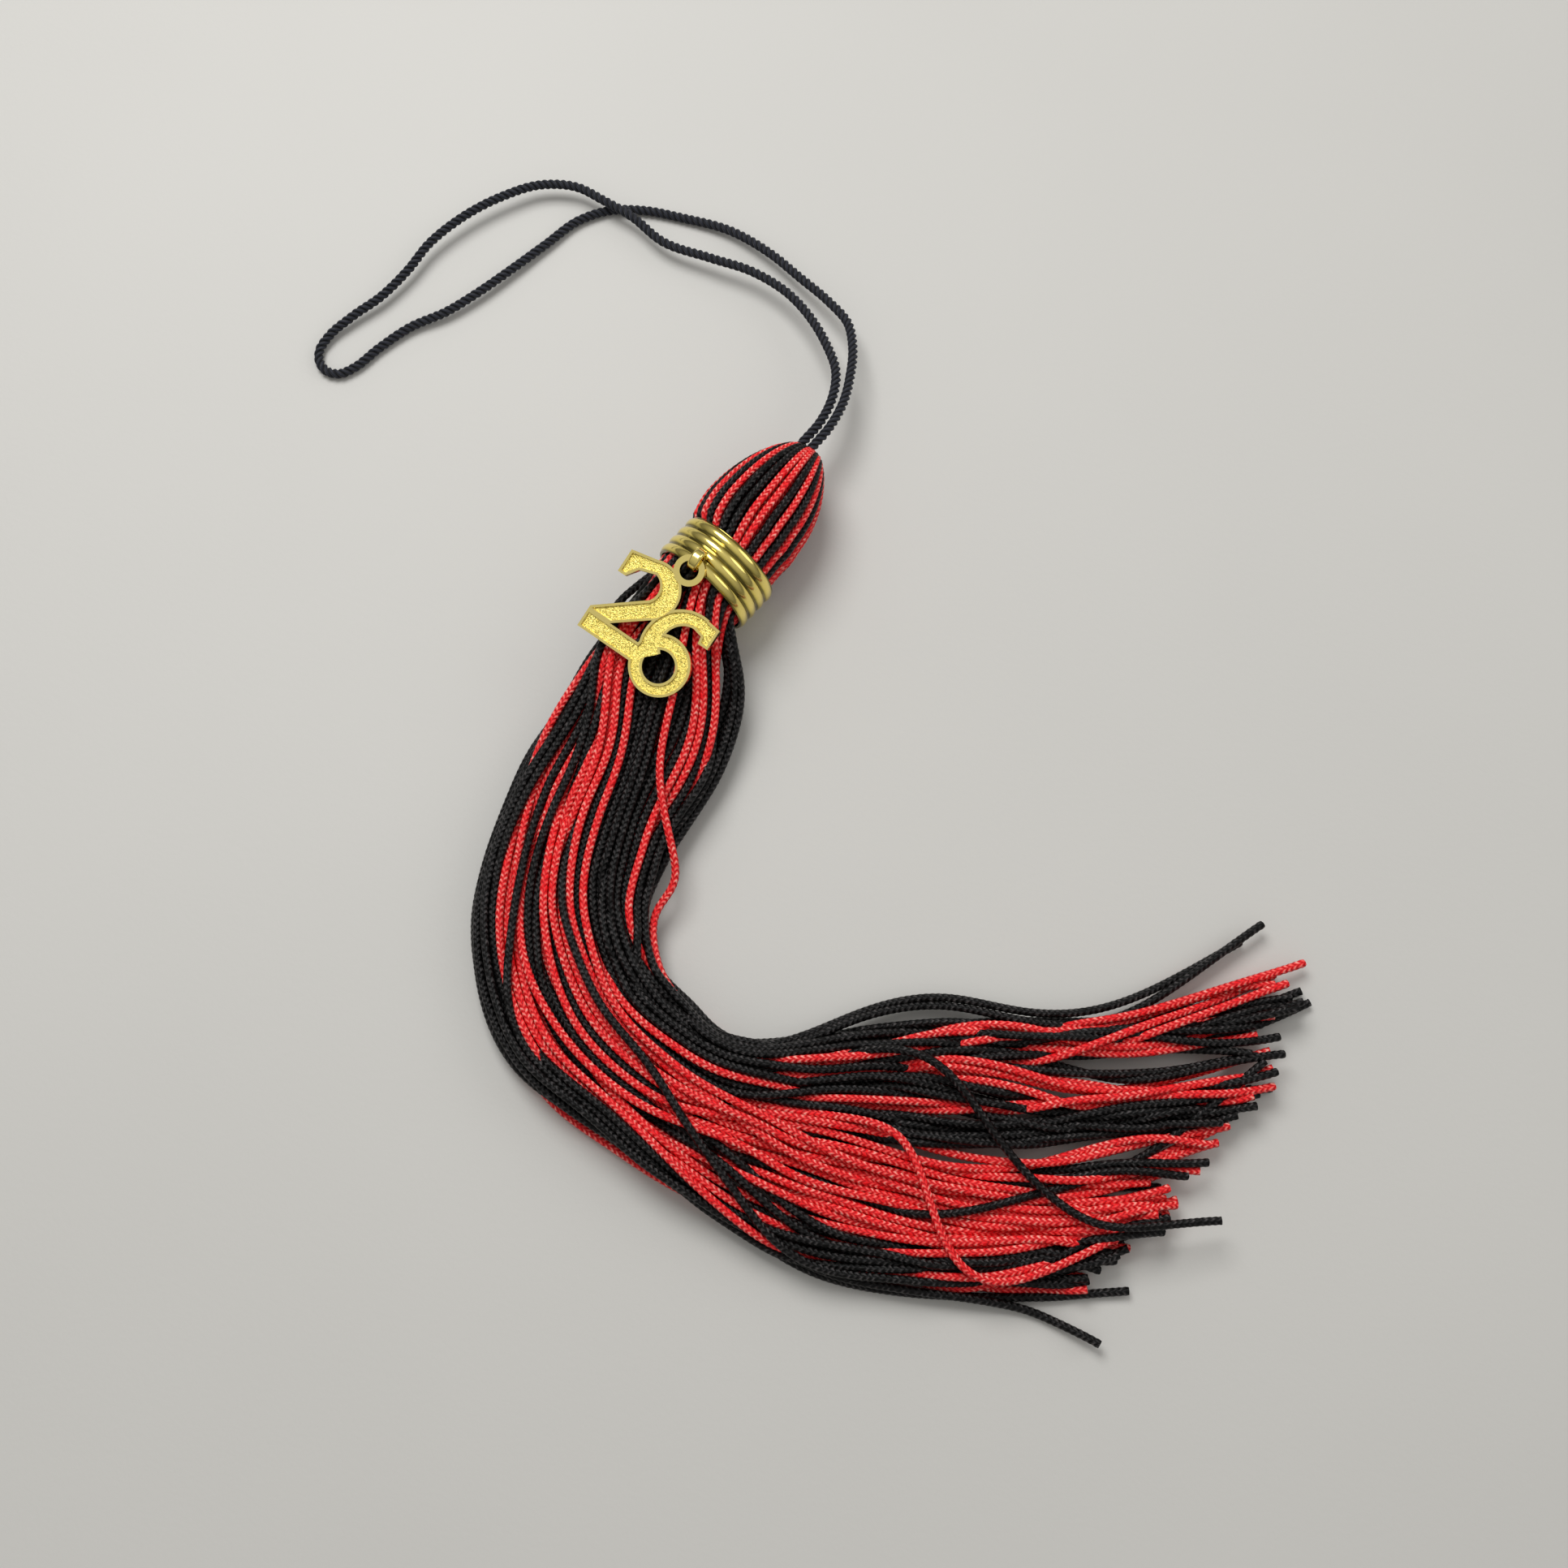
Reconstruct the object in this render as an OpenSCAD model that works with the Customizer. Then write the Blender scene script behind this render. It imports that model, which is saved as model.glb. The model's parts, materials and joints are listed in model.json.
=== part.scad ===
// Graduation tassel, lying on a flat surface.
//
// A skein of soft knitted cords is folded in half. The fold is the rounded head, which a
// hanging loop leaves at the top. A ribbed metal band grips the skein below the head, and
// the loose halves of the cords bend round to one side. A numeral charm hangs from a
// prong on the band.
//
// +Z is up and Z = 0 is the surface. The origin lies on the surface under the neck, with
// the hanging loop towards +Y and the cords' free ends towards +X.

/* [Cords] */
// Diameter of one skein cord
cord_d = 1.5; // [1.3:0.05:1.6]
// Space between cords that lie side by side in the band
cord_gap = 0.05; // [0.03:0.01:0.1]
// Distance from the middle of the band to the middle of the head's fold
fold_reach = 20; // [18:0.5:24]
// Room left inside the fold for the loop's knot
fold_room = 1.95; // [1.9:0.05:2.1]
// Most that a cord's cut end stands in or out from its neighbours
ragged = 3; // [0:0.5:4]

/* [Band] */
// Length of the band along the skein
band_len = 8.2; // [7:0.2:10]
// Thickness of the band's metal at a groove
band_wall = 0.4; // [0.3:0.05:0.8]
// Height of a rib above the grooves
rib_h = 0.35; // [0.2:0.05:0.5]
// Number of ribs round the band
rib_n = 4; // [3:1:6]
// Width of the flat groove between two ribs
groove_w = 0.3; // [0.2:0.05:0.5]
// Clearance between the skein and the band
band_fit = 0.2; // [0.1:0.05:0.4]

/* [Prong] */
// Thickness of the prong's strap
prong_t = 0.9; // [0.7:0.05:1]
// Width of the prong's strap
prong_w = 1.8; // [1.4:0.05:2]
// Clearance between the prong's inside and the charm's eye as the charm swings
prong_gap = 0.25; // [0.15:0.05:0.4]
// Clearance between the charm's eye and the band
eye_gap = 0.15; // [0.1:0.05:0.3]
// Distance of the prong to the side of the band's axis
pivot_side = -1.05; // [-2:0.05:2]

/* [Charm] */
// Height of one numeral
digit_h = 16.8; // [14:0.2:18]
// Thickness of the charm
charm_t = 1.4; // [1:0.1:1.6]
// Width of the raised rim along the edges
rim_w = 0.45; // [0.3:0.05:0.6]
// Depth of the sunk face inside the rim
face_depth = 0.3; // [0.15:0.05:0.5]
// Outer diameter of the eye
eye_d = 5.4; // [5:0.1:6]
// Hole through the eye
eye_hole = 3.3; // [3:0.1:3.5]

/* [Hanging loop] */
// Diameter of the twisted loop cord
loop_d = 1.8; // [1.5:0.1:2]
// Diameter of the knot inside the head
knot_d = 3.7; // [3.2:0.1:3.8]

/* [Hidden] */
// Black (B) and red (R) cords of each column across the skein, outermost fold first
COLUMNS = ["BBB", "RBBR", "BRRBR", "RBRBB", "BRRBR", "RRBRB", "BRBRR", "RBRBB", "BRBB", "BBB"];
columns = len(COLUMNS);

cord_r = cord_d / 2;
pitch = cord_d + cord_gap;

// Half the width of the skein, where its widest column has three cords a side
skein_r = pitch * norm([columns / 2 - 0.5, len(COLUMNS[0]) - 0.5]) + cord_r;
bore_r = skein_r + band_fit;
groove_r = bore_r + band_wall;
band_r = groove_r + rib_h;

// The band rests on the surface, a little askew to the skein
band_place = [0.2, -1.2, band_r];
band_turn = -11;
band_margin = 0.4;

// Middle of the head's fold
fold_place = [1.5, band_place.y + fold_reach, band_r];

// Shares by which a cord is squeezed across the fold, laid flatter before it and pressed
// flatter at its top
fold_squeeze = 0.42;
fold_flat = 0.06;
fold_press = 0.08;

// Shares by which the head's cords spread out and up from their places in the band
head_spread = 1.25;
head_rise = 1.1;

// Space between the two legs of the loop, and half the gap that the fold leaves for them
legs_apart = 0.06;
leg_gap = loop_d + 0.1;

// ---------------------------------------------------------------- Skein cords

// A cord is [column, level]. Level 0 is its column's innermost fold.
function cord_list(colour) = [
    for (column = [0 : columns - 1])
        for (level = [0 : len(COLUMNS[column]) - 1])
            if (COLUMNS[column][len(COLUMNS[column]) - 1 - level] == colour) [column, level]
];
BLACK = cord_list("B");
RED = cord_list("R");

// A bundle station is [x, y, turn of its line across, spacing across, spacing of rows,
// weave of the rows, how far it has settled on the surface]. Weave goes from 0, rows in
// line, through 1, every other row between its neighbours, to 2, four rows side by side.
band_step = [sin(-band_turn), cos(band_turn)] * (band_len / 2 + band_margin);
STATIONS = [
    [1.1, 9.5, 0, pitch * head_spread, pitch * head_rise, 0, 0],
    [band_place.x + band_step.x, band_place.y + band_step.y, band_turn, pitch, pitch, 0, 0],
    [band_place.x - band_step.x, band_place.y - band_step.y, band_turn, pitch, pitch, 0, 0],
    [0, -14.5, -4, 2.8, 1.37, 0.8, 0.5],
    [2, -31, 0, 3.2, 1, 1, 1],
    [4, -49, 6, 3.2, 0.9, 1, 1],
    [9, -66, 35, 3.15, 0.9, 1, 1],
    [21, -77, 65, 3.05, 0.92, 1, 1],
    [38, -80.5, 88, 3, 0.92, 1, 1],
    [58, -77, 103, 3.6, 0.9, 1, 1],
    [80, -65, 108, 5.1, 0.84, 1.5, 1],
    [120, -40, 99, 7.3, 0.5, 2, 1],
];

// Sides of a cord's tube
cord_sides = 6;

// One ring of a tube: middle c, across a, outwards b, half widths ra and rb
function ring(c, a, b, ra, rb, sides) = [
    for (k = [0 : sides - 1])
        let (t = 360 * (k + 0.5) / sides) c + a * ra * cos(t) + b * rb * sin(t)
];

// Shares of a space by which rows move to the side, so that they sink into each other
PAIRED = [0.25, -0.25, 0.25, -0.25];
SPREAD = [0.375, -0.125, 0.125, -0.375];
function weave_shift(row, weave) =
    let (k = row % 4)
    min(weave, 1) * PAIRED[k] + max(weave - 1, 0) * (SPREAD[k] - PAIRED[k]);

function across(column) = column - (columns - 1) / 2;

// Middle of a row's cord at a station of the loose bundle or the band
function bundle_point(st, column, row) =
    let (
        half = len(COLUMNS[column]),
        u = st[3] * (across(column) + weave_shift(row, st[5])),
        hung = band_r + st[4] * (row - half + 0.5),
        lying = cord_r + st[4] * row
    )
    [st.x + u * cos(st[2]), st.y + u * sin(st[2]), hung + (lying - hung) * st[6]];

// Rings of one half of a cord, from the head to the free end
function half_rings(column, level, side) =
    let (
        half = len(COLUMNS[column]),
        row = side > 0 ? half + level : half - 1 - level,
        last = len(STATIONS) - 1,
        reach = ragged * sin(137.5 * (3 * column + 5 * row))
    )
    [
        for (s = [0 : last])
            let (
                st = STATIONS[s],
                p = bundle_point(st, column, row),
                before = bundle_point(STATIONS[max(s - 1, 0)], column, row),
                end = s == last ? p + (p - before) / norm(p - before) * reach : p
            )
            ring([end.x, end.y, p.z], [cos(st[2]), sin(st[2]), 0], [0, 0, side], cord_r, cord_r,
                cord_sides)
    ];

// Round the fold the cords are squeezed together, and part for the legs of the loop
function fold_ring(column, level, angle) =
    let (
        tight = sin(angle),
        narrow = 1 - fold_squeeze * tight,
        thin = 1 - fold_flat - fold_press * tight,
        u = across(column),
        side = sign(u),
        parted = side * (leg_gap + cord_r * narrow + (abs(u) - 0.5) * pitch * narrow),
        x = u * pitch * (1 - tight) + parted * tight,
        out = fold_room + (level + 0.5) * pitch * thin,
        b = [0, sin(angle), cos(angle)]
    )
    ring(fold_place + [x, 0, 0] + b * out, [1, 0, 0], b, cord_r * narrow, cord_r * thin,
        cord_sides);

function cord_rings(c) =
    let (
        upper = half_rings(c[0], c[1], 1),
        lower = half_rings(c[0], c[1], -1),
        last = len(upper) - 1
    )
    concat(
        [for (s = [0 : last]) upper[last - s]],
        [for (angle = [0 : 45 : 180]) fold_ring(c[0], c[1], angle)],
        lower
    );

// Closed tube through a list of rings, with flat ends
module tube(rings) {
    n = len(rings[0]);
    last = len(rings) - 1;
    points = [for (r = rings) each r];
    walls = [
        for (s = [0 : last - 1])
            for (k = [0 : n - 1])
                let (a = s * n + k, b = s * n + (k + 1) % n)
                    each [[a, a + n, b], [b, a + n, b + n]]
    ];
    start = [[for (k = [0 : n - 1]) k]];
    end = [[for (k = [n - 1 : -1 : 0]) last * n + k]];
    polyhedron(points, concat(start, walls, end));
}

// --------------------------------------------------------------- Hanging loop

// The knot's flat top, where both legs of the loop leave it
knot_top = fold_place + [0, 0.5, 0];

// Route of the loop from the knot round to the knot again. The second leg crosses over
// the first.
LOOP_ROUTE = [
    knot_top + [(loop_d + legs_apart) / 2, 0, 0],
    [2.45, 27, 9.6],
    [3.1, 32, 9.4],
    [2.7, 37.5, 8.6],
    [0.8, 43.5, 7.4],
    [-1.9, 49, 6.2],
    [-5.3, 53, 5.2],
    [-10.5, 55.2, 4.4],
    [-17.5, 57, 3.5],
    [-25, 58.8, 2.6],
    [-34, 59.4, 1.6],
    [-43, 57.4, 0.95],
    [-50, 55, 0.95],
    [-55.5, 51.6, 0.95],
    [-59, 47.2, 1],
    [-61.5, 40, 1.2],
    [-64, 32.5, 1.6],
    [-66.8, 25, 1.8],
    [-69.6, 19.2, 1.6],
    [-73.8, 13.2, 1.2],
    [-76.4, 7, 1],
    [-78.3, 1.2, 0.95],
    [-79.7, -0.8, 0.95],
    [-81.9, -1.6, 0.95],
    [-84.1, -0.8, 0.95],
    [-85.4, 1.2, 1],
    [-85.4, 4, 1.3],
    [-83.8, 9.2, 1.8],
    [-81.2, 15.5, 2.2],
    [-79.8, 22, 2.6],
    [-79.2, 28.5, 3],
    [-77.2, 35, 3.2],
    [-73, 43, 3.2],
    [-68, 49, 3],
    [-62.2, 51.9, 3],
    [-56.5, 52.1, 3.05],
    [-50.5, 52, 3],
    [-43, 50.6, 3],
    [-33.5, 52, 3.6],
    [-25.5, 53.3, 4.2],
    [-17.2, 52.5, 5],
    [-11, 50, 5.8],
    [-6, 46.7, 6.8],
    [-1.8, 42.8, 7.8],
    [0.7, 37, 8.8],
    [1.2, 32, 9.4],
    [0.55, 27, 9.6],
    knot_top - [(loop_d + legs_apart) / 2, 0, 0],
];

loop_sides = 8;

// Across and outwards of a tube that runs along a direction close to level
function frame_across(d) = let (a = cross(d, [0, 0, 1])) a / norm(a);
function loop_ring(s) =
    let (
        last = len(LOOP_ROUTE) - 1,
        run = s == 0 ? [0, 1, 0] : s == last ? [0, -1, 0]
            : LOOP_ROUTE[s + 1] - LOOP_ROUTE[s - 1],
        d = run / norm(run),
        a = frame_across(d)
    )
    ring(LOOP_ROUTE[s], a, cross(d, a), loop_d / 2, loop_d / 2, loop_sides);

module hanging_loop() {
    color("#1d1f2b") tube([for (s = [len(LOOP_ROUTE) - 1 : -1 : 0]) loop_ring(s)]);
}

// The loop's two ends are knotted inside the fold, which keeps the loop in the head
module loop_knot() {
    turn = knot_d / 4;
    color("#1d1f2b")
        translate(knot_top) rotate([90, 0, 0]) rotate_extrude($fn = 48) {
            square([turn, 2 * turn]);
            translate([turn, turn]) intersection() {
                circle(turn, $fn = 32);
                translate([0, -turn]) square([turn, 2 * turn]);
            }
        }
}

// ----------------------------------------------------------------------- Band

module band_profile() {
    rib_pitch = band_len / rib_n;
    rib_w = rib_pitch - groove_w;
    rib_r = (rib_w * rib_w / 4 + rib_h * rib_h) / (2 * rib_h);
    translate([bore_r, -band_len / 2]) square([band_wall, band_len]);
    for (k = [0 : rib_n - 1])
        translate([groove_r, (k + 0.5 - rib_n / 2) * rib_pitch]) intersection() {
            translate([rib_h - rib_r, 0]) circle(rib_r, $fn = 64);
            translate([-band_wall / 2, -rib_w / 2]) square([rib_h + band_wall, rib_w]);
        }
}

// The prong runs round the rim of the charm's eye, where the charm swings
eye_rim = (eye_d - eye_hole) / 2;
prong_flat = (prong_w - prong_t) / 2;
rim_middle = (eye_d + eye_hole) / 4;
rim_inside = rim_middle - sqrt(eye_hole * eye_hole / 4 - prong_flat * prong_flat);
prong_in = norm([rim_inside, charm_t / 2]) + prong_gap;
charm_turn = -4.5;
charm_dip = 16.5;
eye_lift = charm_t / 2 * cos(charm_dip) + eye_rim / 2 * sin(charm_dip) + eye_gap;
prong_back = prong_in - eye_gap;
pivot_along = band_len / 2 - prong_back;
pivot = [
    band_place.x + pivot_side * cos(band_turn) + pivot_along * sin(band_turn),
    band_place.y + pivot_side * sin(band_turn) - pivot_along * cos(band_turn),
    2 * band_r + eye_lift
];

// The prong grows from the band's top, goes over the rim of the eye and down through it,
// and is closed back into the band's edge
module prong() {
    translate(pivot) rotate([0, 0, charm_turn]) rotate([90, 0, 90])
        rotate_extrude($fn = 64) translate([prong_in + prong_t / 2, 0]) {
            square([prong_t, 2 * prong_flat], center = true);
            for (side = [-1, 1])
                translate([0, side * prong_flat]) circle(prong_t / 2, $fn = 24);
        }
}

module band() {
    color("#dcc56c") difference() {
        union() {
            translate(band_place) rotate([90, 0, band_turn])
                rotate_extrude($fn = 96) band_profile();
            prong();
        }
        translate(band_place) rotate([90, 0, band_turn])
            cylinder(r = bore_r, h = 2 * band_len, center = true, $fn = 96);
    }
}

// ---------------------------------------------------------------------- Charm

// Numerals are drawn in hundredths of their height, from the middle of the charm's eye,
// with X along their foot line. An inset takes every edge in by that much.
em = digit_h / 100;

function edge_normal(a, b) = let (d = (b - a) / norm(b - a)) [-d.y, d.x];

// Corners of an outline that runs counter-clockwise, taken in from its edges
function taken_in(points, inset) =
    let (n = len(points))
    [
        for (k = [0 : n - 1])
            let (
                p = points[k] * em,
                before = edge_normal(points[(k + n - 1) % n], points[k]),
                after = edge_normal(points[k], points[(k + 1) % n])
            )
            p + (before + after) * inset / (1 + before * after)
    ];

module straight(points, inset) {
    polygon(taken_in(points, inset));
}

// Curved stroke between two circles, [x, y, radius] each, from one angle to another
module curved(outer, inner, from, to, inset) {
    far = 3 * outer[2] * em;
    steps = 8;
    intersection() {
        difference() {
            translate([outer.x, outer.y] * em) circle(outer[2] * em - inset, $fn = 64);
            translate([inner.x, inner.y] * em) circle(inner[2] * em + inset, $fn = 48);
        }
        translate([inner.x, inner.y] * em) polygon(concat([[0, 0]], [
            for (k = [0 : steps])
                let (t = from + (to - from) * k / steps) far * [cos(t), sin(t)]
        ]));
    }
}

module numeral_two(inset) {
    curved([-21.4, -37.5, 31], [-29.2, -37, 15.5], -45, 140, inset);
    straight([[-61, -40], [-52, -40], [-43, -27.5], [-24, -21.5], [-24, -6.8], [-61, -14.5]], inset);
    straight([[-65, -88], [-38, -88], [4, -56], [-4, -40], [-17.5, -47], [-65, -84]], inset);
    straight([[-65, -108], [4, -108], [4, -88], [-65, -88]], inset);
}

module numeral_six(inset) {
    curved([28, -95, 32], [28, -96.5, 17], 0, 360, inset);
    curved([38.7, -73, 43.5], [38.7, -68.5, 23], 80, 225, inset);
    straight([[36, -45.5], [47, -48], [48.5, -55.5], [60, -55.5], [60, -33], [36, -29.7]], inset);
}

// The eye is joined to the shoulder of the first numeral
module charm_eye(height) {
    difference() {
        cylinder(d = eye_d, h = height, center = true, $fn = 64);
        cylinder(d = eye_hole, h = 2 * height, center = true, $fn = 64);
    }
}

module charm() {
    color("#e6cf78")
        translate(pivot) rotate([charm_dip, 0, charm_turn])
            translate([0, -rim_middle, 0]) {
                difference() {
                    linear_extrude(charm_t, center = true) difference() {
                        union() {
                            numeral_two(0);
                            numeral_six(0);
                        }
                        circle(d = eye_d - eye_rim, $fn = 64);
                    }
                    translate([0, 0, charm_t / 2 - face_depth])
                        linear_extrude(face_depth + 1) difference() {
                            union() {
                                numeral_two(rim_w);
                                numeral_six(rim_w);
                            }
                            circle(d = eye_d, $fn = 64);
                        }
                }
                charm_eye(charm_t);
            }
}

// ---------------------------------------------------------------------- Nodes

function numbered(stem, k) = str(stem, k < 9 ? "0" : "", k + 1);

module cords(list, stem, shade) {
    for (k = [0 : len(list) - 1])
        color(shade) tube(cord_rings(list[k]));
}

band();
charm();
loop_knot();
hanging_loop();
cords(BLACK, "black_cord_", "#1c1c1e");
cords(RED, "red_cord_", "#d8232f");
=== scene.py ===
"""A graduation tassel: knitted cords, band, charm and hanging loop, dressed over its solids.

Metres, +Z up, Z = 0 is the surface that the tassel lies on. Routes are given in
millimetres and turned into metres where they are used.
"""

import functools
import json
import math
from collections import namedtuple

import bpy
import numpy as np
from mathutils import Matrix, Vector


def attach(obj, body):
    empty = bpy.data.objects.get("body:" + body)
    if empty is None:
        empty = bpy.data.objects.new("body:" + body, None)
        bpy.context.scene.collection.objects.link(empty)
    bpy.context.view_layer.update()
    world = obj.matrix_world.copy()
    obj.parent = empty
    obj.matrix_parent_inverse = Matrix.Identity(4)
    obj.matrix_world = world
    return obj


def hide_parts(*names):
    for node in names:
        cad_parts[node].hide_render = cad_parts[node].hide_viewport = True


bl_info = {
    "name": "Graduation Tassel",
    "version": (1, 0, 0),
    "blender": (4, 5, 0),
    "location": "View3D > Sidebar > Tassel",
    "description": "Makes a tassel of knitted cords with a band, a charm and a hanging loop",
    "category": "Object",
}

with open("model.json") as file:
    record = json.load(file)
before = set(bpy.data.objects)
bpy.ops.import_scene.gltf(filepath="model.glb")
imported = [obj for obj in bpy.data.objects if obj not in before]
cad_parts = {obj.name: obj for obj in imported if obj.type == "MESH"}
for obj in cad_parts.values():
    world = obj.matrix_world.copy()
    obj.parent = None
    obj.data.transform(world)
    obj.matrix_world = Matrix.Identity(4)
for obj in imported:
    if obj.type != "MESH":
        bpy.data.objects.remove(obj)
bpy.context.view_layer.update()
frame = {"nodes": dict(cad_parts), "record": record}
MM = 0.001

BLACK_NODES = sorted(n for n in frame["nodes"] if n.startswith("black_cord"))
RED_NODES = sorted(n for n in frame["nodes"] if n.startswith("red_cord"))
PIVOT = Vector(frame["record"]["behaviour"]["joints"][0]["pos_m"])


# ------------------------------------------------------------------- Settings


def length_setting(name, description, default, least, most):
    return bpy.props.FloatProperty(
        name=name, description=description, default=default, min=least, max=most,
        unit="LENGTH", precision=5)


def colour_setting(name, description, default):
    return bpy.props.FloatVectorProperty(
        name=name, description=description, subtype="COLOR", size=3, min=0.0, max=1.0,
        default=default)


class TasselCordSettings(bpy.types.PropertyGroup):
    """Sizes and colours of the knitted cords."""

    diameter: length_setting("Diameter", "Diameter of one knitted cord", 0.00138, 0.001, 0.003)
    stitch: length_setting(
        "Stitch", "Length of one knitted stitch along the cord", 0.00105, 0.0005, 0.003)
    stitch_depth: length_setting(
        "Stitch depth", "Depth of the dips between stitches", 0.00008, 0.0, 0.0005)
    fringe_length: length_setting(
        "Fringe length", "Distance along the bundle at which its middle cords end",
        0.198, 0.1, 0.3)
    black: colour_setting("Black yarn", "Colour of the black cords", (0.0026, 0.0023, 0.0023))
    # colour of the painted highlight (glint) on the black stitches' bellies
    black_painted_glint: colour_setting(
        "Black glint", "Colour of the black stitches' bellies", (0.075, 0.068, 0.068))
    red: colour_setting("Red yarn", "Colour of the red cords", (0.95, 0.015, 0.020))
    # colour of the painted highlight (glint) on the red stitches' bellies
    red_painted_glint: colour_setting(
        "Red glint", "Colour of the red stitches' bellies", (1.0, 0.46, 0.38))


class TasselLoopSettings(bpy.types.PropertyGroup):
    """Sizes and colour of the twisted hanging loop."""

    diameter: length_setting("Diameter", "Diameter of the twisted cord", 0.0018, 0.001, 0.004)
    lay: length_setting(
        "Lay", "Length in which a ply goes once round the cord", 0.0034, 0.001, 0.01)
    plies: bpy.props.IntProperty(
        name="Plies", description="Number of plies twisted together", default=3, min=2, max=4)
    colour: colour_setting("Colour", "Colour of the twisted cord", (0.011, 0.013, 0.022))


class TasselMetalSettings(bpy.types.PropertyGroup):
    """Colours of the gilt band and charm."""

    band: colour_setting("Band", "Colour of the polished band", (0.86, 0.69, 0.17))
    charm: colour_setting("Charm", "Colour of the gilt charm", (0.96, 0.76, 0.17))
    grain: length_setting(
        "Grain", "Size of the grains of the charm's sunk face", 0.00017, 0.0001, 0.001)


class TasselStageSettings(bpy.types.PropertyGroup):
    """Colour of the surface and strength of the light."""

    surface: colour_setting(
        "Surface", "Colour of the surface under the tassel", (0.60, 0.59, 0.56))
    key_power: bpy.props.FloatProperty(
        name="Key power", description="Power of the main soft lamp",
        default=3.3, min=0.0, max=100.0, unit="POWER")
    sky: bpy.props.FloatProperty(
        name="Sky", description="Strength of the even light from all round",
        default=0.42, min=0.0, max=2.0)


# ---------------------------------------------------------------------- Nodes


class Value:
    """A number in a node tree. Sums with it make Math nodes."""

    def __init__(self, socket):
        self.socket = socket

    def math(self, operation, *others, clamp=False):
        return math_value(self.socket.id_data, operation, self, *others, clamp=clamp)

    def __add__(self, other):
        return self.math("ADD", other)

    def __sub__(self, other):
        return self.math("SUBTRACT", other)

    def __rsub__(self, other):
        return math_value(self.socket.id_data, "SUBTRACT", other, self)

    def __mul__(self, other):
        return self.math("MULTIPLY", other)

    def __truediv__(self, other):
        return self.math("DIVIDE", other)

    def __pow__(self, other):
        return self.math("POWER", other)


def feed(made, inputs):
    """Gives a node its inputs, by name or place: plain values, sockets or Values."""
    for key, value in inputs.items():
        if isinstance(value, Value):
            value = value.socket
        if isinstance(value, bpy.types.NodeSocket):
            made.id_data.links.new(value, made.inputs[key])
        else:
            made.inputs[key].default_value = value


def node(tree, kind, inputs=None, **properties):
    """A new node with its properties and its inputs."""
    made = tree.nodes.new(kind)
    for key, value in properties.items():
        setattr(made, key, value)
    feed(made, inputs or {})
    return made


def math_value(tree, operation, *values, clamp=False):
    made = node(tree, "ShaderNodeMath", dict(enumerate(values)), operation=operation,
                use_clamp=clamp)
    return Value(made.outputs[0])


def split(tree, vector):
    """The three Values of a vector."""
    parts = node(tree, "ShaderNodeSeparateXYZ", {"Vector": vector})
    return [Value(output) for output in parts.outputs]


def joined(tree, x, y, z=0.0):
    return node(tree, "ShaderNodeCombineXYZ", {"X": x, "Y": y, "Z": z}).outputs[0]


def material(name):
    """A new node material, its tree and its Principled shader."""
    made = bpy.data.materials.new(name)
    made.use_nodes = True
    return made, made.node_tree, made.node_tree.nodes["Principled BSDF"]


def object_place(tree):
    return node(tree, "ShaderNodeTexCoord").outputs["Object"]


def local_place(tree, place, **moves):
    """A place as seen from a moved, turned or stretched frame."""
    made = node(tree, "ShaderNodeMapping", {"Vector": place}, vector_type="TEXTURE")
    feed(made, {key.capitalize(): value for key, value in moves.items()})
    return made.outputs[0]


def noise(tree, place, scale, detail):
    made = node(tree, "ShaderNodeTexNoise", {"Vector": place, "Scale": scale, "Detail": detail})
    return Value(made.outputs["Fac"])


def ramp(tree, factor, *stops):
    """A colour ramp through (place, colour) stops."""
    made = node(tree, "ShaderNodeValToRGB", {"Fac": factor})
    elements = made.color_ramp.elements
    while len(elements) < len(stops):
        elements.new(0.5)
    for element, (place, colour) in zip(elements, stops):
        element.position = place
        element.color = (*colour, 1.0)
    return made.outputs["Color"]


def mixed(tree, factor, first, second):
    """A mix of two colours, where factor is the second one's share."""
    made = node(tree, "ShaderNodeMix", {0: factor, 6: first, 7: second}, data_type="RGBA")
    return made.outputs[2]


def bump(tree, height, strength, distance):
    made = node(tree, "ShaderNodeBump", {
        "Height": height, "Strength": strength, "Distance": distance})
    return made.outputs[0]


def shade(colour, factor, pale=0.0):
    """A colour times a factor, then mixed a little with white."""
    return tuple(min(1.0, c * factor * (1 - pale) + pale) for c in colour)


# ---------------------------------------------------------------------- Stage

# The camera's place, what it looks at and which way is up in its view
CAMERA_AT = Vector((81.4, -114.0, 386.4)) * MM
LOOK_AT = Vector((28.2, -25.2, 0.0)) * MM
VIEW_UP = Vector((-0.5135, 0.858, 0.0))
SENSOR = 36.0
LENS = 53.33

# Half the side of the square table, and its top's height, just below the lowest cords
TABLE_HALF = 3.0
TABLE_Z = -0.00005

# Round soft lamps: place, aim, size and share of the key power
LAMPS = {
    "key_lamp": ((-0.30, 0.20, 0.62), (0.0, 0.0, 0.0), 0.42, 1.0),
    "window_lamp": ((0.55, 0.55, 0.55), (0.02, 0.0, 0.0), 0.6, 0.35),
}

# Shares of the sky's strength that come from the horizon and, on top of it, from straight
# above, and the least strength with which the camera sees the sky
SKY_LEVEL = 0.28
SKY_RISE = 1.08
SKY_SEEN = 0.6


def surface_shader(colour):
    """A smooth painted table, a little cloudy."""
    made, tree, skin = material("table_surface")
    place = object_place(tree)
    cloudy = noise(tree, place, scale=9.0, detail=3.0)
    fine = noise(tree, place, scale=900.0, detail=2.0)
    feed(skin, {
        "Base Color": ramp(tree, cloudy, (0.3, shade(colour, 0.985)), (0.7, shade(colour, 1.015))),
        "Normal": bump(tree, fine, strength=0.12, distance=0.0002),
        "Roughness": 0.55,
        "Specular IOR Level": 0.35,
    })
    return made


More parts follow.
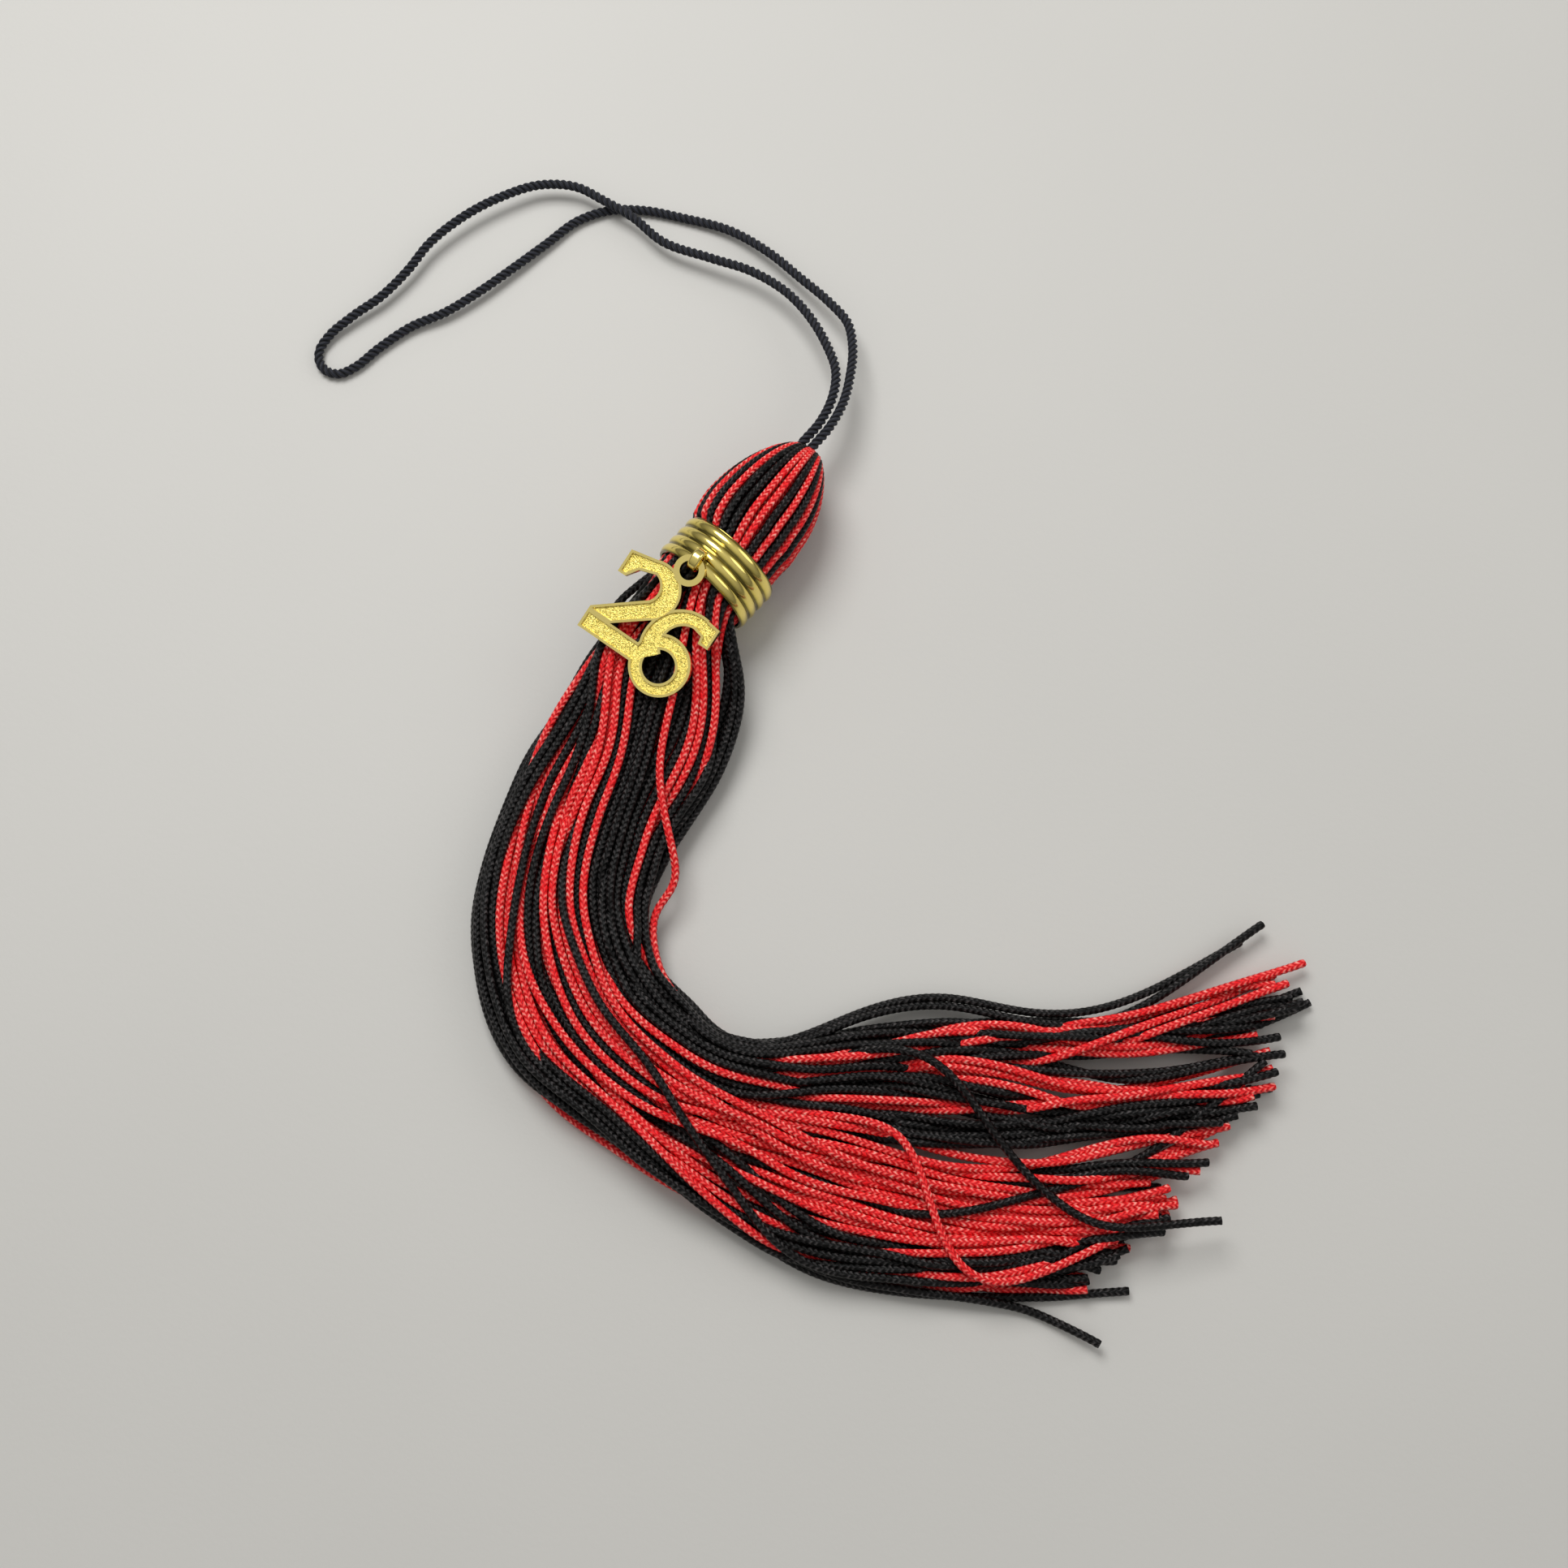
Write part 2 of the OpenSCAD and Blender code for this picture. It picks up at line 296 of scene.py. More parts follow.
def room_world(strength):
    """Light from all round that grows towards the top."""
    world = bpy.data.worlds.new("room")
    world.use_nodes = True
    tree = world.node_tree
    way = node(tree, "ShaderNodeTexCoord").outputs["Generated"]
    height = split(tree, way)[2].math("MAXIMUM", 0.0)
    light = height.math("MULTIPLY_ADD", strength * SKY_RISE, strength * SKY_LEVEL)
    seen = Value(node(tree, "ShaderNodeLightPath").outputs["Is Camera Ray"])
    feed(tree.nodes["Background"], {
        "Color": (1.0, 0.99, 0.97, 1.0),
        "Strength": light.math("MAXIMUM", seen * SKY_SEEN),
    })
    return world


def soft_lamp(name, place, aim, size, power):
    light = bpy.data.lights.new(name, "AREA")
    light.shape = "DISK"
    light.size = size
    light.energy = power
    lamp = bpy.data.objects.new(name, light)
    bpy.context.collection.objects.link(lamp)
    lamp.location = place
    lamp.rotation_mode = "QUATERNION"
    lamp.rotation_quaternion = (Vector(aim) - Vector(place)).to_track_quat("-Z", "Y")


def fixed_camera():
    camera = bpy.data.objects.new("camera", bpy.data.cameras.new("camera"))
    bpy.context.collection.objects.link(camera)
    back = (CAMERA_AT - LOOK_AT).normalized()
    right = VIEW_UP.cross(back).normalized()
    turn = Matrix((right, back.cross(right), back)).transposed()
    camera.matrix_world = Matrix.Translation(CAMERA_AT) @ turn.to_4x4()
    camera.data.sensor_width = SENSOR
    camera.data.lens = LENS
    camera.data.clip_start = 0.01
    camera.data.clip_end = 20
    return camera


class TASSEL_OT_stage(bpy.types.Operator):
    """Make the surface, the lamps and the camera"""

    bl_idname = "tassel.stage"
    bl_label = "Stage"

    def execute(self, context):
        made = context.scene.tassel_stage
        context.scene.camera = fixed_camera()
        mesh = bpy.data.meshes.new("table")
        corners = ((-1, -1), (1, -1), (1, 1), (-1, 1))
        mesh.from_pydata(
            [(TABLE_HALF * x, TABLE_HALF * y, TABLE_Z) for x, y in corners], [], [(0, 1, 2, 3)])
        mesh.materials.append(surface_shader(made.surface))
        table = bpy.data.objects.new("table", mesh)
        context.collection.objects.link(table)
        for name, (place, aim, size, share) in LAMPS.items():
            soft_lamp(name, place, aim, size, made.key_power * share)
        context.scene.world = room_world(made.sky)
        context.scene.view_settings.view_transform = "Standard"
        return {"FINISHED"}


# --------------------------------------------------------- Smooth lines, tubes


def smooth(knots, values, at):
    """Values at places along a smooth line through knots, straight on past its ends."""
    knots, values, at = (np.asarray(a, float) for a in (knots, values, at))
    flat = values.ndim == 1
    if flat:
        values = values[:, None]
    steps = np.diff(knots)
    slopes = np.diff(values, axis=0) / steps[:, None]
    tangents = np.empty_like(values)
    tangents[0], tangents[-1] = slopes[0], slopes[-1]
    before, after = steps[:-1, None], steps[1:, None]
    tangents[1:-1] = (slopes[:-1] * after + slopes[1:] * before) / (before + after)
    k = np.clip(np.searchsorted(knots, at) - 1, 0, len(steps) - 1)
    span = steps[k]
    t = (np.clip(at, knots[0], knots[-1]) - knots[k]) / span
    t, span = t[:, None], span[:, None]
    line = (
        (2 * t**3 - 3 * t**2 + 1) * values[k] + (t**3 - 2 * t**2 + t) * span * tangents[k]
        + (3 * t**2 - 2 * t**3) * values[k + 1] + (t**3 - t**2) * span * tangents[k + 1]
    )
    past = at - np.clip(at, knots[0], knots[-1])
    line = line + np.where(past < 0, past, 0)[:, None] * tangents[0]
    line = line + np.where(past > 0, past, 0)[:, None] * tangents[-1]
    return line[:, 0] if flat else line


def run_of(points):
    """Distance along a line at each of its points."""
    return np.r_[0.0, np.cumsum(np.linalg.norm(np.diff(points, axis=0), axis=1))]


def even_line(points, step):
    """A smooth line through points, with its own points evenly spaced."""
    points = np.asarray(points, float)
    run = run_of(points)
    fine = smooth(run, points, np.linspace(0, run[-1], max(int(run[-1] / step) * 4, 8)))
    fine_run = run_of(fine)
    places = np.linspace(0, fine_run[-1], max(int(round(fine_run[-1] / step)), 2) + 1)
    return np.stack([np.interp(places, fine_run, fine[:, k]) for k in range(3)], axis=1)


def stored(tree, geometry, name, value, kind="FLOAT", domain="POINT"):
    """The geometry with a value kept on it under a name."""
    made = node(tree, "GeometryNodeStoreNamedAttribute", {
        "Geometry": geometry, "Name": name, "Value": value}, data_type=kind, domain=domain)
    return made.outputs["Geometry"]


def named(tree, name):
    made = node(tree, "GeometryNodeInputNamedAttribute", {"Name": name}, data_type="FLOAT")
    return Value(made.outputs["Attribute"])


def spline_output(tree, name):
    return Value(node(tree, "GeometryNodeSplineParameter").outputs[name])


def circle(tree, sides, radius):
    made = node(tree, "GeometryNodeCurvePrimitiveCircle", {
        "Resolution": sides, "Radius": radius})
    return made.outputs[0]


def swept_tree(name, sides, build_profile, push):
    """A tree that sweeps a profile along a line, stores how far along and round each point
    is, and pushes the points out by a rule."""
    tree = bpy.data.node_groups.new(name, "GeometryNodeTree")
    entries = [("Geometry", "Geometry")] + [
        (size, "Float") for size in ("Diameter", "Pattern length", "Pattern depth", "Ring step")
    ] + [("Material", "Material")]
    for title, kind in entries:
        tree.interface.new_socket(title, in_out="INPUT", socket_type="NodeSocket" + kind)
    tree.interface.new_socket("Geometry", in_out="OUTPUT", socket_type="NodeSocketGeometry")
    entry = node(tree, "NodeGroupInput")
    line = node(tree, "GeometryNodeMeshToCurve", {"Mesh": entry.outputs["Geometry"]})
    rings = node(tree, "GeometryNodeResampleCurve", {
        "Curve": line.outputs[0], "Length": entry.outputs["Ring step"]}, mode="LENGTH")
    rail = stored(tree, rings.outputs[0], "along", spline_output(tree, "Length"))
    rail, profile = build_profile(tree, entry, rail, sides)
    profile = stored(tree, profile, "around", spline_output(tree, "Factor"))
    sweep = node(tree, "GeometryNodeCurveToMesh", {
        "Curve": rail, "Profile Curve": profile, "Scale": named(tree, "plump"),
        "Fill Caps": True})
    skin = push(tree, entry, sweep.outputs[0])
    # a corner whose place round the cord is far behind its face's lies past the seam
    face_round = Value(node(
        tree, "GeometryNodeFieldOnDomain", {"Value": named(tree, "around")},
        data_type="FLOAT", domain="FACE").outputs[0])
    past_seam = (face_round - named(tree, "around")).math("GREATER_THAN", 0.25)
    chart = joined(tree, named(tree, "around") + past_seam, named(tree, "along"))
    skin = stored(tree, skin, "UVMap", chart, "FLOAT2", "CORNER")
    for kind in ("GeometryNodeSetShadeSmooth", "GeometryNodeRealizeInstances"):
        skin = node(tree, kind, {"Geometry": skin}).outputs[0]
    finish = node(tree, "GeometryNodeSetMaterial", {
        "Geometry": skin, "Material": entry.outputs["Material"]})
    node(tree, "NodeGroupOutput", {0: finish.outputs[0]})
    return tree


def swept_piece(name, line, plump, tree, inputs):
    """A plain mesh piece swept along a line by a tree."""
    source = bpy.data.meshes.new(name + "_line")
    source.from_pydata([tuple(p) for p in line], [(k, k + 1) for k in range(len(line) - 1)], [])
    sizes = source.attributes.new("plump", "FLOAT", "POINT")
    sizes.data.foreach_set("value", np.asarray(plump, np.float32))
    carrier = bpy.data.objects.new(name + "_line", source)
    bpy.context.collection.objects.link(carrier)
    modifier = carrier.modifiers.new("sweep", "NODES")
    modifier.node_group = tree
    for item in tree.interface.items_tree:
        if item.item_type == "SOCKET" and item.in_out == "INPUT" and item.name in inputs:
            modifier[item.identifier] = inputs[item.name]
    carrier.update_tag()
    graph = bpy.context.evaluated_depsgraph_get()
    mesh = bpy.data.meshes.new_from_object(
        carrier.evaluated_get(graph), preserve_all_data_layers=True, depsgraph=graph)
    bpy.data.objects.remove(carrier)
    bpy.data.meshes.remove(source)
    if len(mesh.polygons) == 0:
        raise RuntimeError(name + " came out empty")
    for spare in ("plump", "along", "around"):
        if spare in mesh.attributes:
            mesh.attributes.remove(mesh.attributes[spare])
    mesh.name = name
    piece = bpy.data.objects.new(name, mesh)
    bpy.context.collection.objects.link(piece)
    return piece


# --------------------------------------------------------------- Hanging loop

# Route of the loop from the knot in the head round to the knot again, in millimetres
LOOP_ROUTE = [
    (2.43, 19.3, 9.68), (2.45, 27, 9.6), (3.1, 32, 9.4), (2.7, 37.5, 8.6), (0.8, 43.5, 7.4),
    (-1.9, 49, 6.2), (-5.3, 53, 5.2), (-10.5, 55.2, 4.4), (-17.5, 57, 3.5), (-25, 58.8, 2.6),
    (-34, 59.4, 1.6), (-43, 57.4, 0.95), (-50, 55, 0.95), (-55.5, 51.6, 0.95), (-59, 47.2, 1),
    (-61.5, 40, 1.2), (-64, 32.5, 1.6), (-66.8, 25, 1.8), (-69.6, 19.2, 1.6), (-73.8, 13.2, 1.2),
    (-76.4, 7, 1), (-78.3, 1.2, 0.95), (-79.7, -0.8, 0.95), (-81.9, -1.6, 0.95),
    (-84.1, -0.8, 0.95), (-85.4, 1.2, 1), (-85.4, 4, 1.3), (-83.8, 9.2, 1.8),
    (-81.2, 15.5, 2.2), (-79.8, 22, 2.6),
    (-79.2, 28.5, 3), (-77.2, 35, 3.2), (-73, 43, 3.2), (-68, 49, 3), (-62.2, 51.9, 3),
    (-56.5, 52.1, 3.05), (-50.5, 52, 3), (-43, 50.6, 3), (-33.5, 52, 3.6), (-25.5, 53.3, 4.2),
    (-17.2, 52.5, 5), (-11, 50, 5.8), (-6, 46.7, 6.8), (-1.8, 42.8, 7.8), (0.7, 37, 8.8),
    (1.2, 32, 9.4), (0.55, 27, 9.6), (0.57, 19.3, 9.68),
]

# Radius of a ply, and distance of its middle from the cord's: shares whose sum stands for the
# cord's radius
PLY_RADIUS = 0.5
PLY_OUT = 0.47
# Spacing of the line's points and of the mesh's rings, and the mesh's sides
LOOP_STEP = 0.0006
LOOP_RING_STEP = 0.0003
LOOP_SIDES = 24


def ply_profile(tree, entry, rail, sides):
    """A lobed profile, one lobe for each ply, on a rail whose tilt turns with its length."""
    turns = named(tree, "along") / entry.outputs["Pattern length"]
    rail = node(tree, "GeometryNodeSetCurveTilt", {
        "Curve": rail, "Tilt": turns * math.tau}).outputs[0]
    angle = spline_output(tree, "Factor") * math.tau
    lobe = math.tau / bpy.context.scene.tassel_loop.plies
    local = angle.math("FLOORED_MODULO", lobe) - lobe / 2
    sine = local.math("SINE") * PLY_OUT
    reach = (PLY_RADIUS**2 - sine**2.0).math("SQRT")
    scale = Value(entry.outputs["Diameter"]) * (0.5 / (PLY_OUT + PLY_RADIUS))
    radius = (local.math("COSINE") * PLY_OUT + reach) * scale
    place = joined(tree, angle.math("COSINE") * radius, angle.math("SINE") * radius)
    profile = node(tree, "GeometryNodeSetPosition", {
        "Geometry": circle(tree, sides, 1.0), "Position": place})
    return rail, profile.outputs[0]


def no_push(tree, entry, skin):
    return skin


def twisted_shader(colour, plies):
    """Twisted yarn: fine fibres that lean across each ply. The colour follows their relief:
    painted shade in the seams between plies, a painted highlight on raised fibres.
    """
    made, tree, skin = material("twisted_loop_cord")
    around, along, _ = split(tree, node(tree, "ShaderNodeUVMap").outputs["UV"])
    ply = (around * float(plies)).math("FRACT")
    seam = (ply - 0.5).math("ABSOLUTE") * 2.0
    fibres = noise(tree, joined(tree, ply * 9.0, along * 1400.0), scale=1.0, detail=2.0)
    # the fibres' relief, low in the seams; the colour ramp paints shade there and a highlight on
    # raised fibres
    lift = fibres - seam**3.0
    feed(skin, {
        "Base Color": ramp(tree, lift, (0.0, shade(colour, 0.25)), (0.45, colour),
                           (0.8, shade(colour, 1.6, 0.012))),
        "Normal": bump(tree, lift, strength=0.5, distance=0.00015),
        "Roughness": 0.62,
        "Specular IOR Level": 0.4,
        "Sheen Weight": 0.15,
        "Sheen Roughness": 0.4,
    })
    return made


def knot_shader(colour):
    """Yarn wound round the knot, as fine slanting ridges, with painted shade between them and a
    painted highlight on their tops.
    """
    made, tree, skin = material("knotted_loop_cord")
    waves = node(tree, "ShaderNodeTexWave", {
        "Vector": object_place(tree), "Scale": 420.0, "Distortion": 2.0, "Detail": 1.0,
    }, bands_direction="DIAGONAL").outputs["Fac"]
    # the ridges' colour: painted shade between them, painted highlight on their tops
    feed(skin, {
        "Base Color": ramp(tree, waves, (0.1, shade(colour, 0.3)),
                           (0.8, shade(colour, 1.3, 0.01))),
        "Normal": bump(tree, waves, strength=0.6, distance=0.0002),
        "Roughness": 0.7,
    })
    return made


def dress(name, cloth):
    """Gives a piece of the frame one material."""
    slots = frame["nodes"][name].data.materials
    slots.clear()
    slots.append(cloth)


class TASSEL_OT_hanging_loop(bpy.types.Operator):
    """Make the twisted hanging loop and dress its knot"""

    bl_idname = "tassel.hanging_loop"
    bl_label = "Hanging loop"

    def execute(self, context):
        made = context.scene.tassel_loop
        route = np.array(LOOP_ROUTE) * MM
        line = even_line(route, LOOP_STEP)
        tree = swept_tree("twisted_cord", LOOP_SIDES, ply_profile, no_push)
        piece = swept_piece("hanging_loop_cord", line, np.ones(len(line)), tree, {
            "Diameter": made.diameter, "Pattern length": made.lay,
            "Ring step": LOOP_RING_STEP, "Material": twisted_shader(made.colour, made.plies)})
        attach(piece, "tassel")
        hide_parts("hanging_loop")
        dress("loop_knot", knot_shader(made.colour))
        return {"FINISHED"}


# -------------------------------------------------------------- Knitted cords

# The bundle's middle line, as x, y and the turn of the line across it, in millimetres and
# degrees, from the band's upper edge to the free ends
SPINE = np.array([
    (0.9, 3.5, -11), (-0.7, -5.8, -11), (0, -14.5, -4), (2, -31, 0), (4, -49, 6), (9, -66, 35),
    (21, -77, 65), (38, -80.5, 88), (58, -77, 103), (80, -65, 108), (115, -43, 99),
], float)
SPINE_RUN = run_of(SPINE[:, :2])

# Height of the band's axis, and places along the bundle where the band holds the cords and
# where they start to leave their order in it
BAND_AXIS_Z = 9.68
BAND_RUN = (0.0, 4.7, 9.4)
BAND_END = 10.0

# Cords in the band, ring by ring from the outside: colours of the upper half, left to right.
# The lower half mirrors them, because each cord is folded over the head's top.
RINGS = [
    (7.95, "BRBRBRBBRRBRBRBR"),
    (6.42, "BBRBRBBRRBRBB"),
    (4.88, "RBRBBRBBRB"),
    (3.35, "BRBRB"),
]

# Locks of like cords below the band. Each is its colour, its number of cords, its height in
# the bundle and its way: how far along the bundle, and how far across it from the outer edge
# (-) to the inner edge (+). The height goes from 0, underneath, to 1, on top, and past 1 where
# cords cross over others. A third number in a way is its height from there on.
LOCKS = [
    # the inner edge: black over the bundle's flank, with red lines coming up between
    ("B", 2, 0.8, [(10, 9.5), (14, 12.8), (20, 15), (30, 15.8), (36, 15.8), (43, 14.8), (50, 13.6),
        (60, 13), (80, 12.7), (95, 12.4), (105, 10.8), (112, 9.4), (118, 11), (124, 15.5),
        (130, 20.3), (136, 22.4), (142, 23.2), (149, 22.9), (156, 21.5), (163, 19.6), (172, 19.8),
        (179, 22.5), (184, 27), (190, 34)]),
    ("B", 4, 0.65, [(10, 8.8), (14, 11.4), (20, 13.4), (30, 14.2), (40, 14), (50, 12.6), (65, 12.4),
        (95, 12), (110, 9), (120, 12), (128, 16.5), (140, 17.8), (155, 17.8), (170, 17.8),
        (182, 19.5), (200, 23)]),
    ("B", 2, 0.93, [(10, 5.6), (15, 6.4), (20, 8.2), (25, 11), (30, 13.4), (40, 13.9), (50, 12.4),
        (60, 12.8), (70, 13.4), (85, 12), (100, 11.5), (110, 9.5), (120, 11), (128, 15.3),
        (140, 16.4), (155, 16.2), (170, 15.5), (185, 17), (200, 20)]),
    ("R", 1, 0.98, [(10, 6.8), (15, 7.6), (19, 9.2), (24, 11.8), (29, 14), (34, 14.8), (39, 14.6),
        (43, 13.8, 0.75), (60, 12, 0.5), (100, 10, 0.3), (118, 9, 0.5), (124, 9.8, 0.85),
        (130, 11.9, 0.98), (138, 13.4), (144, 14.6, 0.9), (150, 15.5, 0.6), (168, 17.5, 0.6),
        (176, 19, 0.95), (185, 23.5), (197, 31)]),
    ("R", 1, 0.6, [(10, 6.2), (24, 10.4, 0.5), (34, 13, 0.4), (60, 11, 0.4), (100, 8, 0.3),
        (118, 8.6, 0.5), (124, 11.2, 0.85), (130, 13.2, 0.98), (138, 14.6), (144, 15.6, 0.75),
        (160, 17.6, 0.5), (176, 19, 0.9), (186, 23), (196, 26.5)]),
    ("R", 1, 0.97, [(10, 4.6), (16, 5.6), (20, 7.4), (24, 9.8), (29, 11.6), (34, 12.3), (41, 12.5),
        (46, 12, 0.75), (70, 10, 0.4), (110, 8, 0.4), (120, 8.6, 0.7), (125, 9.4, 0.95),
        (132, 10.6), (139, 11.8, 0.75), (146, 12.3, 0.8), (150, 12, 0.97), (157, 11.2), (163, 9.4),
        (170, 7), (178, 6.8), (187, 8.4), (199, 12.5)]),
    ("R", 1, 0.97, [(10, 3.4), (16, 4.4), (21, 6.6), (26, 8.8), (31, 10.6), (36, 10.5), (42, 9.8),
        (50, 9.9), (58, 10.7), (66, 11.4), (75, 12.3), (81, 12.7), (86, 12.5, 0.75), (110, 9, 0.4),
        (119, 9.4, 0.7), (124, 10.8, 0.97), (131, 13.5), (139, 14.3), (146, 14.6), (151, 14.2, 0.7),
        (172, 14.5, 0.7), (180, 16, 0.95), (188, 19.5), (198, 25)]),
    ("R", 1, 0.7, [(10, 2.6), (28, 6.5), (34, 8.6, 0.93), (39, 8.8), (43, 7.9), (47, 8.2), (51, 9),
        (55, 9.2, 0.7), (80, 8, 0.4), (110, 6, 0.4), (122, 6, 0.75), (128, 7.2, 0.95), (135, 7),
        (141, 6.4), (148, 4.8), (154, 3.5), (160, 3.2), (166, 3.9), (173, 5.4), (183, 6.6),
        (199, 10.4)]),
    ("R", 1, 1.08, [(10, 1.6), (22, 3.8), (29, 5.2), (37, 6.1), (41, 7), (44, 9.5), (47, 12.6),
        (50, 15.6), (53, 17.6), (57, 18.4), (61, 18), (67, 16.5), (75, 14.9), (85, 14.2),
        (92, 13.8), (97, 13, 0.75), (110, 9.5, 0.4), (125, 10, 0.4), (150, 13, 0.5),
        (170, 15, 0.75), (178, 17.5, 0.95), (196, 27)]),
    ("B", 3, 0.9, [(10, 4.2), (20, 4.6), (25, 6.6), (30, 8.2), (35, 7.8), (40, 7.2, 0.8),
        (46, 7.2, 0.93), (52, 7.8), (60, 8.4), (70, 9.8), (85, 10.6), (100, 10.4), (110, 8.9),
        (117, 9.4, 0.85), (123, 10.5, 0.7), (140, 12, 0.6), (150, 14, 0.85), (160, 13.4, 0.95),
        (170, 12), (180, 11), (200, 12)]),
    ("B", 2, 0.93, [(10, 2), (20, 2.2), (30, 2.8), (35, 3.2), (40, 4.6), (46, 5.4), (52, 5.7),
        (60, 6.3), (70, 7.9), (85, 8.7), (100, 8.7), (110, 7.6), (120, 8.4), (128, 9), (134, 10.2),
        (140, 11), (148, 9.6), (156, 8), (163, 6.4), (169, 5.5, 0.6), (185, 4), (199, 5)]),
    ("B", 3, 0.9, [(10, 0.5), (20, 0.4), (30, 0.4), (35, 1), (40, 3), (46, 3.9), (52, 3.7),
        (60, 4.5), (70, 6), (85, 6.9), (100, 7, 0.7), (110, 6, 0.6), (115, 4.3, 0.9),
        (119, 4.9, 0.97), (123, 6.4), (128, 7.9), (134, 8.6), (140, 8.8), (148, 7.2), (156, 5.6),
        (163, 4.8), (169, 3.4, 0.7), (185, 5), (200, 8)]),
    # the red and black middle
    ("R", 1, 1, [(10, -1.2), (20, -4.4), (27, -4.2), (31, -2.7), (35, -0.8), (39, 0.8), (44, 1.9),
        (50, 1.9), (56, 2), (61, 2.7), (66, 3.7), (72, 4.7), (80, 5.3), (88, 5), (100, 4.1),
        (110, 3), (117, 1.6), (125, 0), (132, -2.8), (140, -5.4), (150, -8.2), (160, -10),
        (170, -10.4), (190, -9.5)]),
    ("R", 1, 0.4, [(10, 0), (30, -2), (60, 3.5), (82, 6, 0.75), (88, 6.3, 0.97), (103, 6.2),
        (110, 5.8), (116, 6.2), (121, 6.8), (126, 7.4, 0.85), (135, 5.6), (142, 4.6, 0.7),
        (150, 4, 0.6), (165, 5, 0.85), (172, 4.4, 0.97), (183, 5.4), (199, 8.5)]),
    ("R", 1, 1, [(10, -3), (20, -6.2), (27, -7.2), (32, -4.9), (37, -1.9), (42, -0.2), (47, -0.7),
        (52, -1.2), (57, -0.9), (62, 0.2), (67, 1.4), (73, 2.5), (80, 4), (90, 3.9, 0.95), (100, 3),
        (110, 1.6), (120, 0.2), (130, -3.8), (140, -6.8), (150, -9.6), (160, -11.4), (170, -12.4),
        (190, -12)]),
    ("R", 1, 0.97, [(10, -4), (20, -7.2), (27, -8.4), (32, -6.2), (37, -3.2), (42, -1.7),
        (47, -2.1, 0.75), (60, -2.2, 0.7), (66, -0.4, 0.85), (72, 0.6, 0.97), (80, 1.8), (90, 1.7),
        (100, 1), (110, 0), (120, -0.8), (130, -1.2), (140, -2.8), (150, -5.4), (160, -7.3),
        (170, -7.2), (190, -3.5)]),
    ("R", 2, 0.97, [(10, -4.6), (20, -8), (27, -9.4), (32, -7.6), (37, -4.8), (42, -3.2),
        (48, -2.8), (53, -2.9), (57, -3.6, 0.75), (70, -3, 0.5), (90, -2, 0.5), (110, -4, 0.6),
        (120, -4, 0.85), (130, -4.9, 0.93), (140, -8.2), (150, -11), (160, -13.3), (170, -14),
        (190, -13)]),
    ("R", 1, 0.5, [(10, -3), (30, -5), (50, -3, 0.75), (54, -3.2, 0.9), (60, -2.2, 0.97),
        (66, -1.5), (72, -0.6), (80, 0.4), (90, 0.4), (100, -0.1), (110, -0.8), (120, 1.8),
        (130, 2.6), (140, 0.2), (150, -2.6), (160, -4.5), (170, -4.6), (190, -0.5)]),
    ("R", 1, 0.5, [(10, -4), (30, -6), (50, -4.4, 0.75), (56, -4.2, 0.93), (62, -3.4, 0.97),
        (70, -2.6), (80, -2.3), (90, -2.4), (100, -2.4), (110, -2), (120, 0.4), (130, 1.2),
        (140, -1.2), (150, -4), (160, -5.9), (170, -6), (190, -2)]),
    ("B", 1, 0.93, [(10, -2.2), (20, -5.2), (28, -5.6), (34, -3), (39, -0.6), (44, 0.8), (50, 0.5),
        (56, 0.5), (61, 1.4), (66, 2.5), (71, 3.6), (76, 4.6, 0.75), (95, 4, 0.5), (115, 4.5, 0.6),
        (125, 4.6, 0.93), (135, 5), (145, 2.8), (155, 1.5), (165, 1), (175, 1.8), (199, 6.5)]),
    ("B", 1, 0.7, [(10, -3.5), (30, -6), (44, -2.2, 0.8), (52, -2.1, 0.95), (58, -1.7),
        (65, 0.1, 1.05), (70, 1.3), (75, 2.4, 1.2), (80, 3), (87, 3.1), (95, 2.6), (100, 1.9),
        (104, 0.5), (108, -2), (112, -5), (116, -7.4), (120, -9.7), (124, -13.9), (128, -17.7),
        (133, -20.6), (140, -22), (155, -23.8), (170, -24.5), (185, -24.5)]),
    ("B", 1, 0.5, [(10, -1), (50, -3), (78, -1, 0.75), (84, -1, 0.92), (95, -1.1), (104, -1.3),
        (109, -1.5, 0.6), (125, -2, 0.6), (140, 1, 0.8), (148, -0.6, 0.95), (158, -1.8), (168, -2),
        (178, -0.5), (197, 4)]),
    ("B", 1, 0.4, [(10, -2), (50, -5), (86, -3.9, 0.75), (92, -3.8, 0.92), (100, -3.9), (107, -3.8),
        (112, -4, 0.7), (122, -5, 0.85), (127, -5.3, 0.93), (132, -6.8), (137, -8.5, 0.7),
        (149, -12.8, 0.75), (153, -13.2, 0.97), (160, -13), (170, -11.3), (177, -10.5), (182, -8.5),
        (186, -5.5), (190, 0)]),
    ("R", 2, 0.25, [(10, -2), (50, -1), (110, 0), (125, -6), (140, -10.5), (150, -13.8, 0.75),
        (160, -16, 0.85), (170, -16.4), (190, -15)]),
    ("R", 4, 0.2, [(10, -1), (30, -3), (50, -2), (80, 0, 0.5), (110, -2, 0.7), (120, -1.5, 0.85),
        (130, -2.2), (140, -4.2), (150, -7), (160, -9), (170, -9.4), (190, -7)]),
    ("R", 4, 0.2, [(10, -4), (30, -6), (50, -6.5), (80, -8, 0.5), (95, -7.8), (110, -7.7, 0.7),
        (125, -8.1, 0.8), (140, -12), (150, -15), (160, -17.3), (170, -17.6), (190, -16.5)]),
    ("R", 3, 0.3, [(10, 1), (50, 5), (95, 7), (110, 6), (125, 9), (140, 10.5, 0.6),
        (147, 11.6, 0.9), (155, 10.8, 0.97), (160, 9.6), (165, 8), (171, 6), (178, 5.6), (187, 7),
        (199, 10)]),
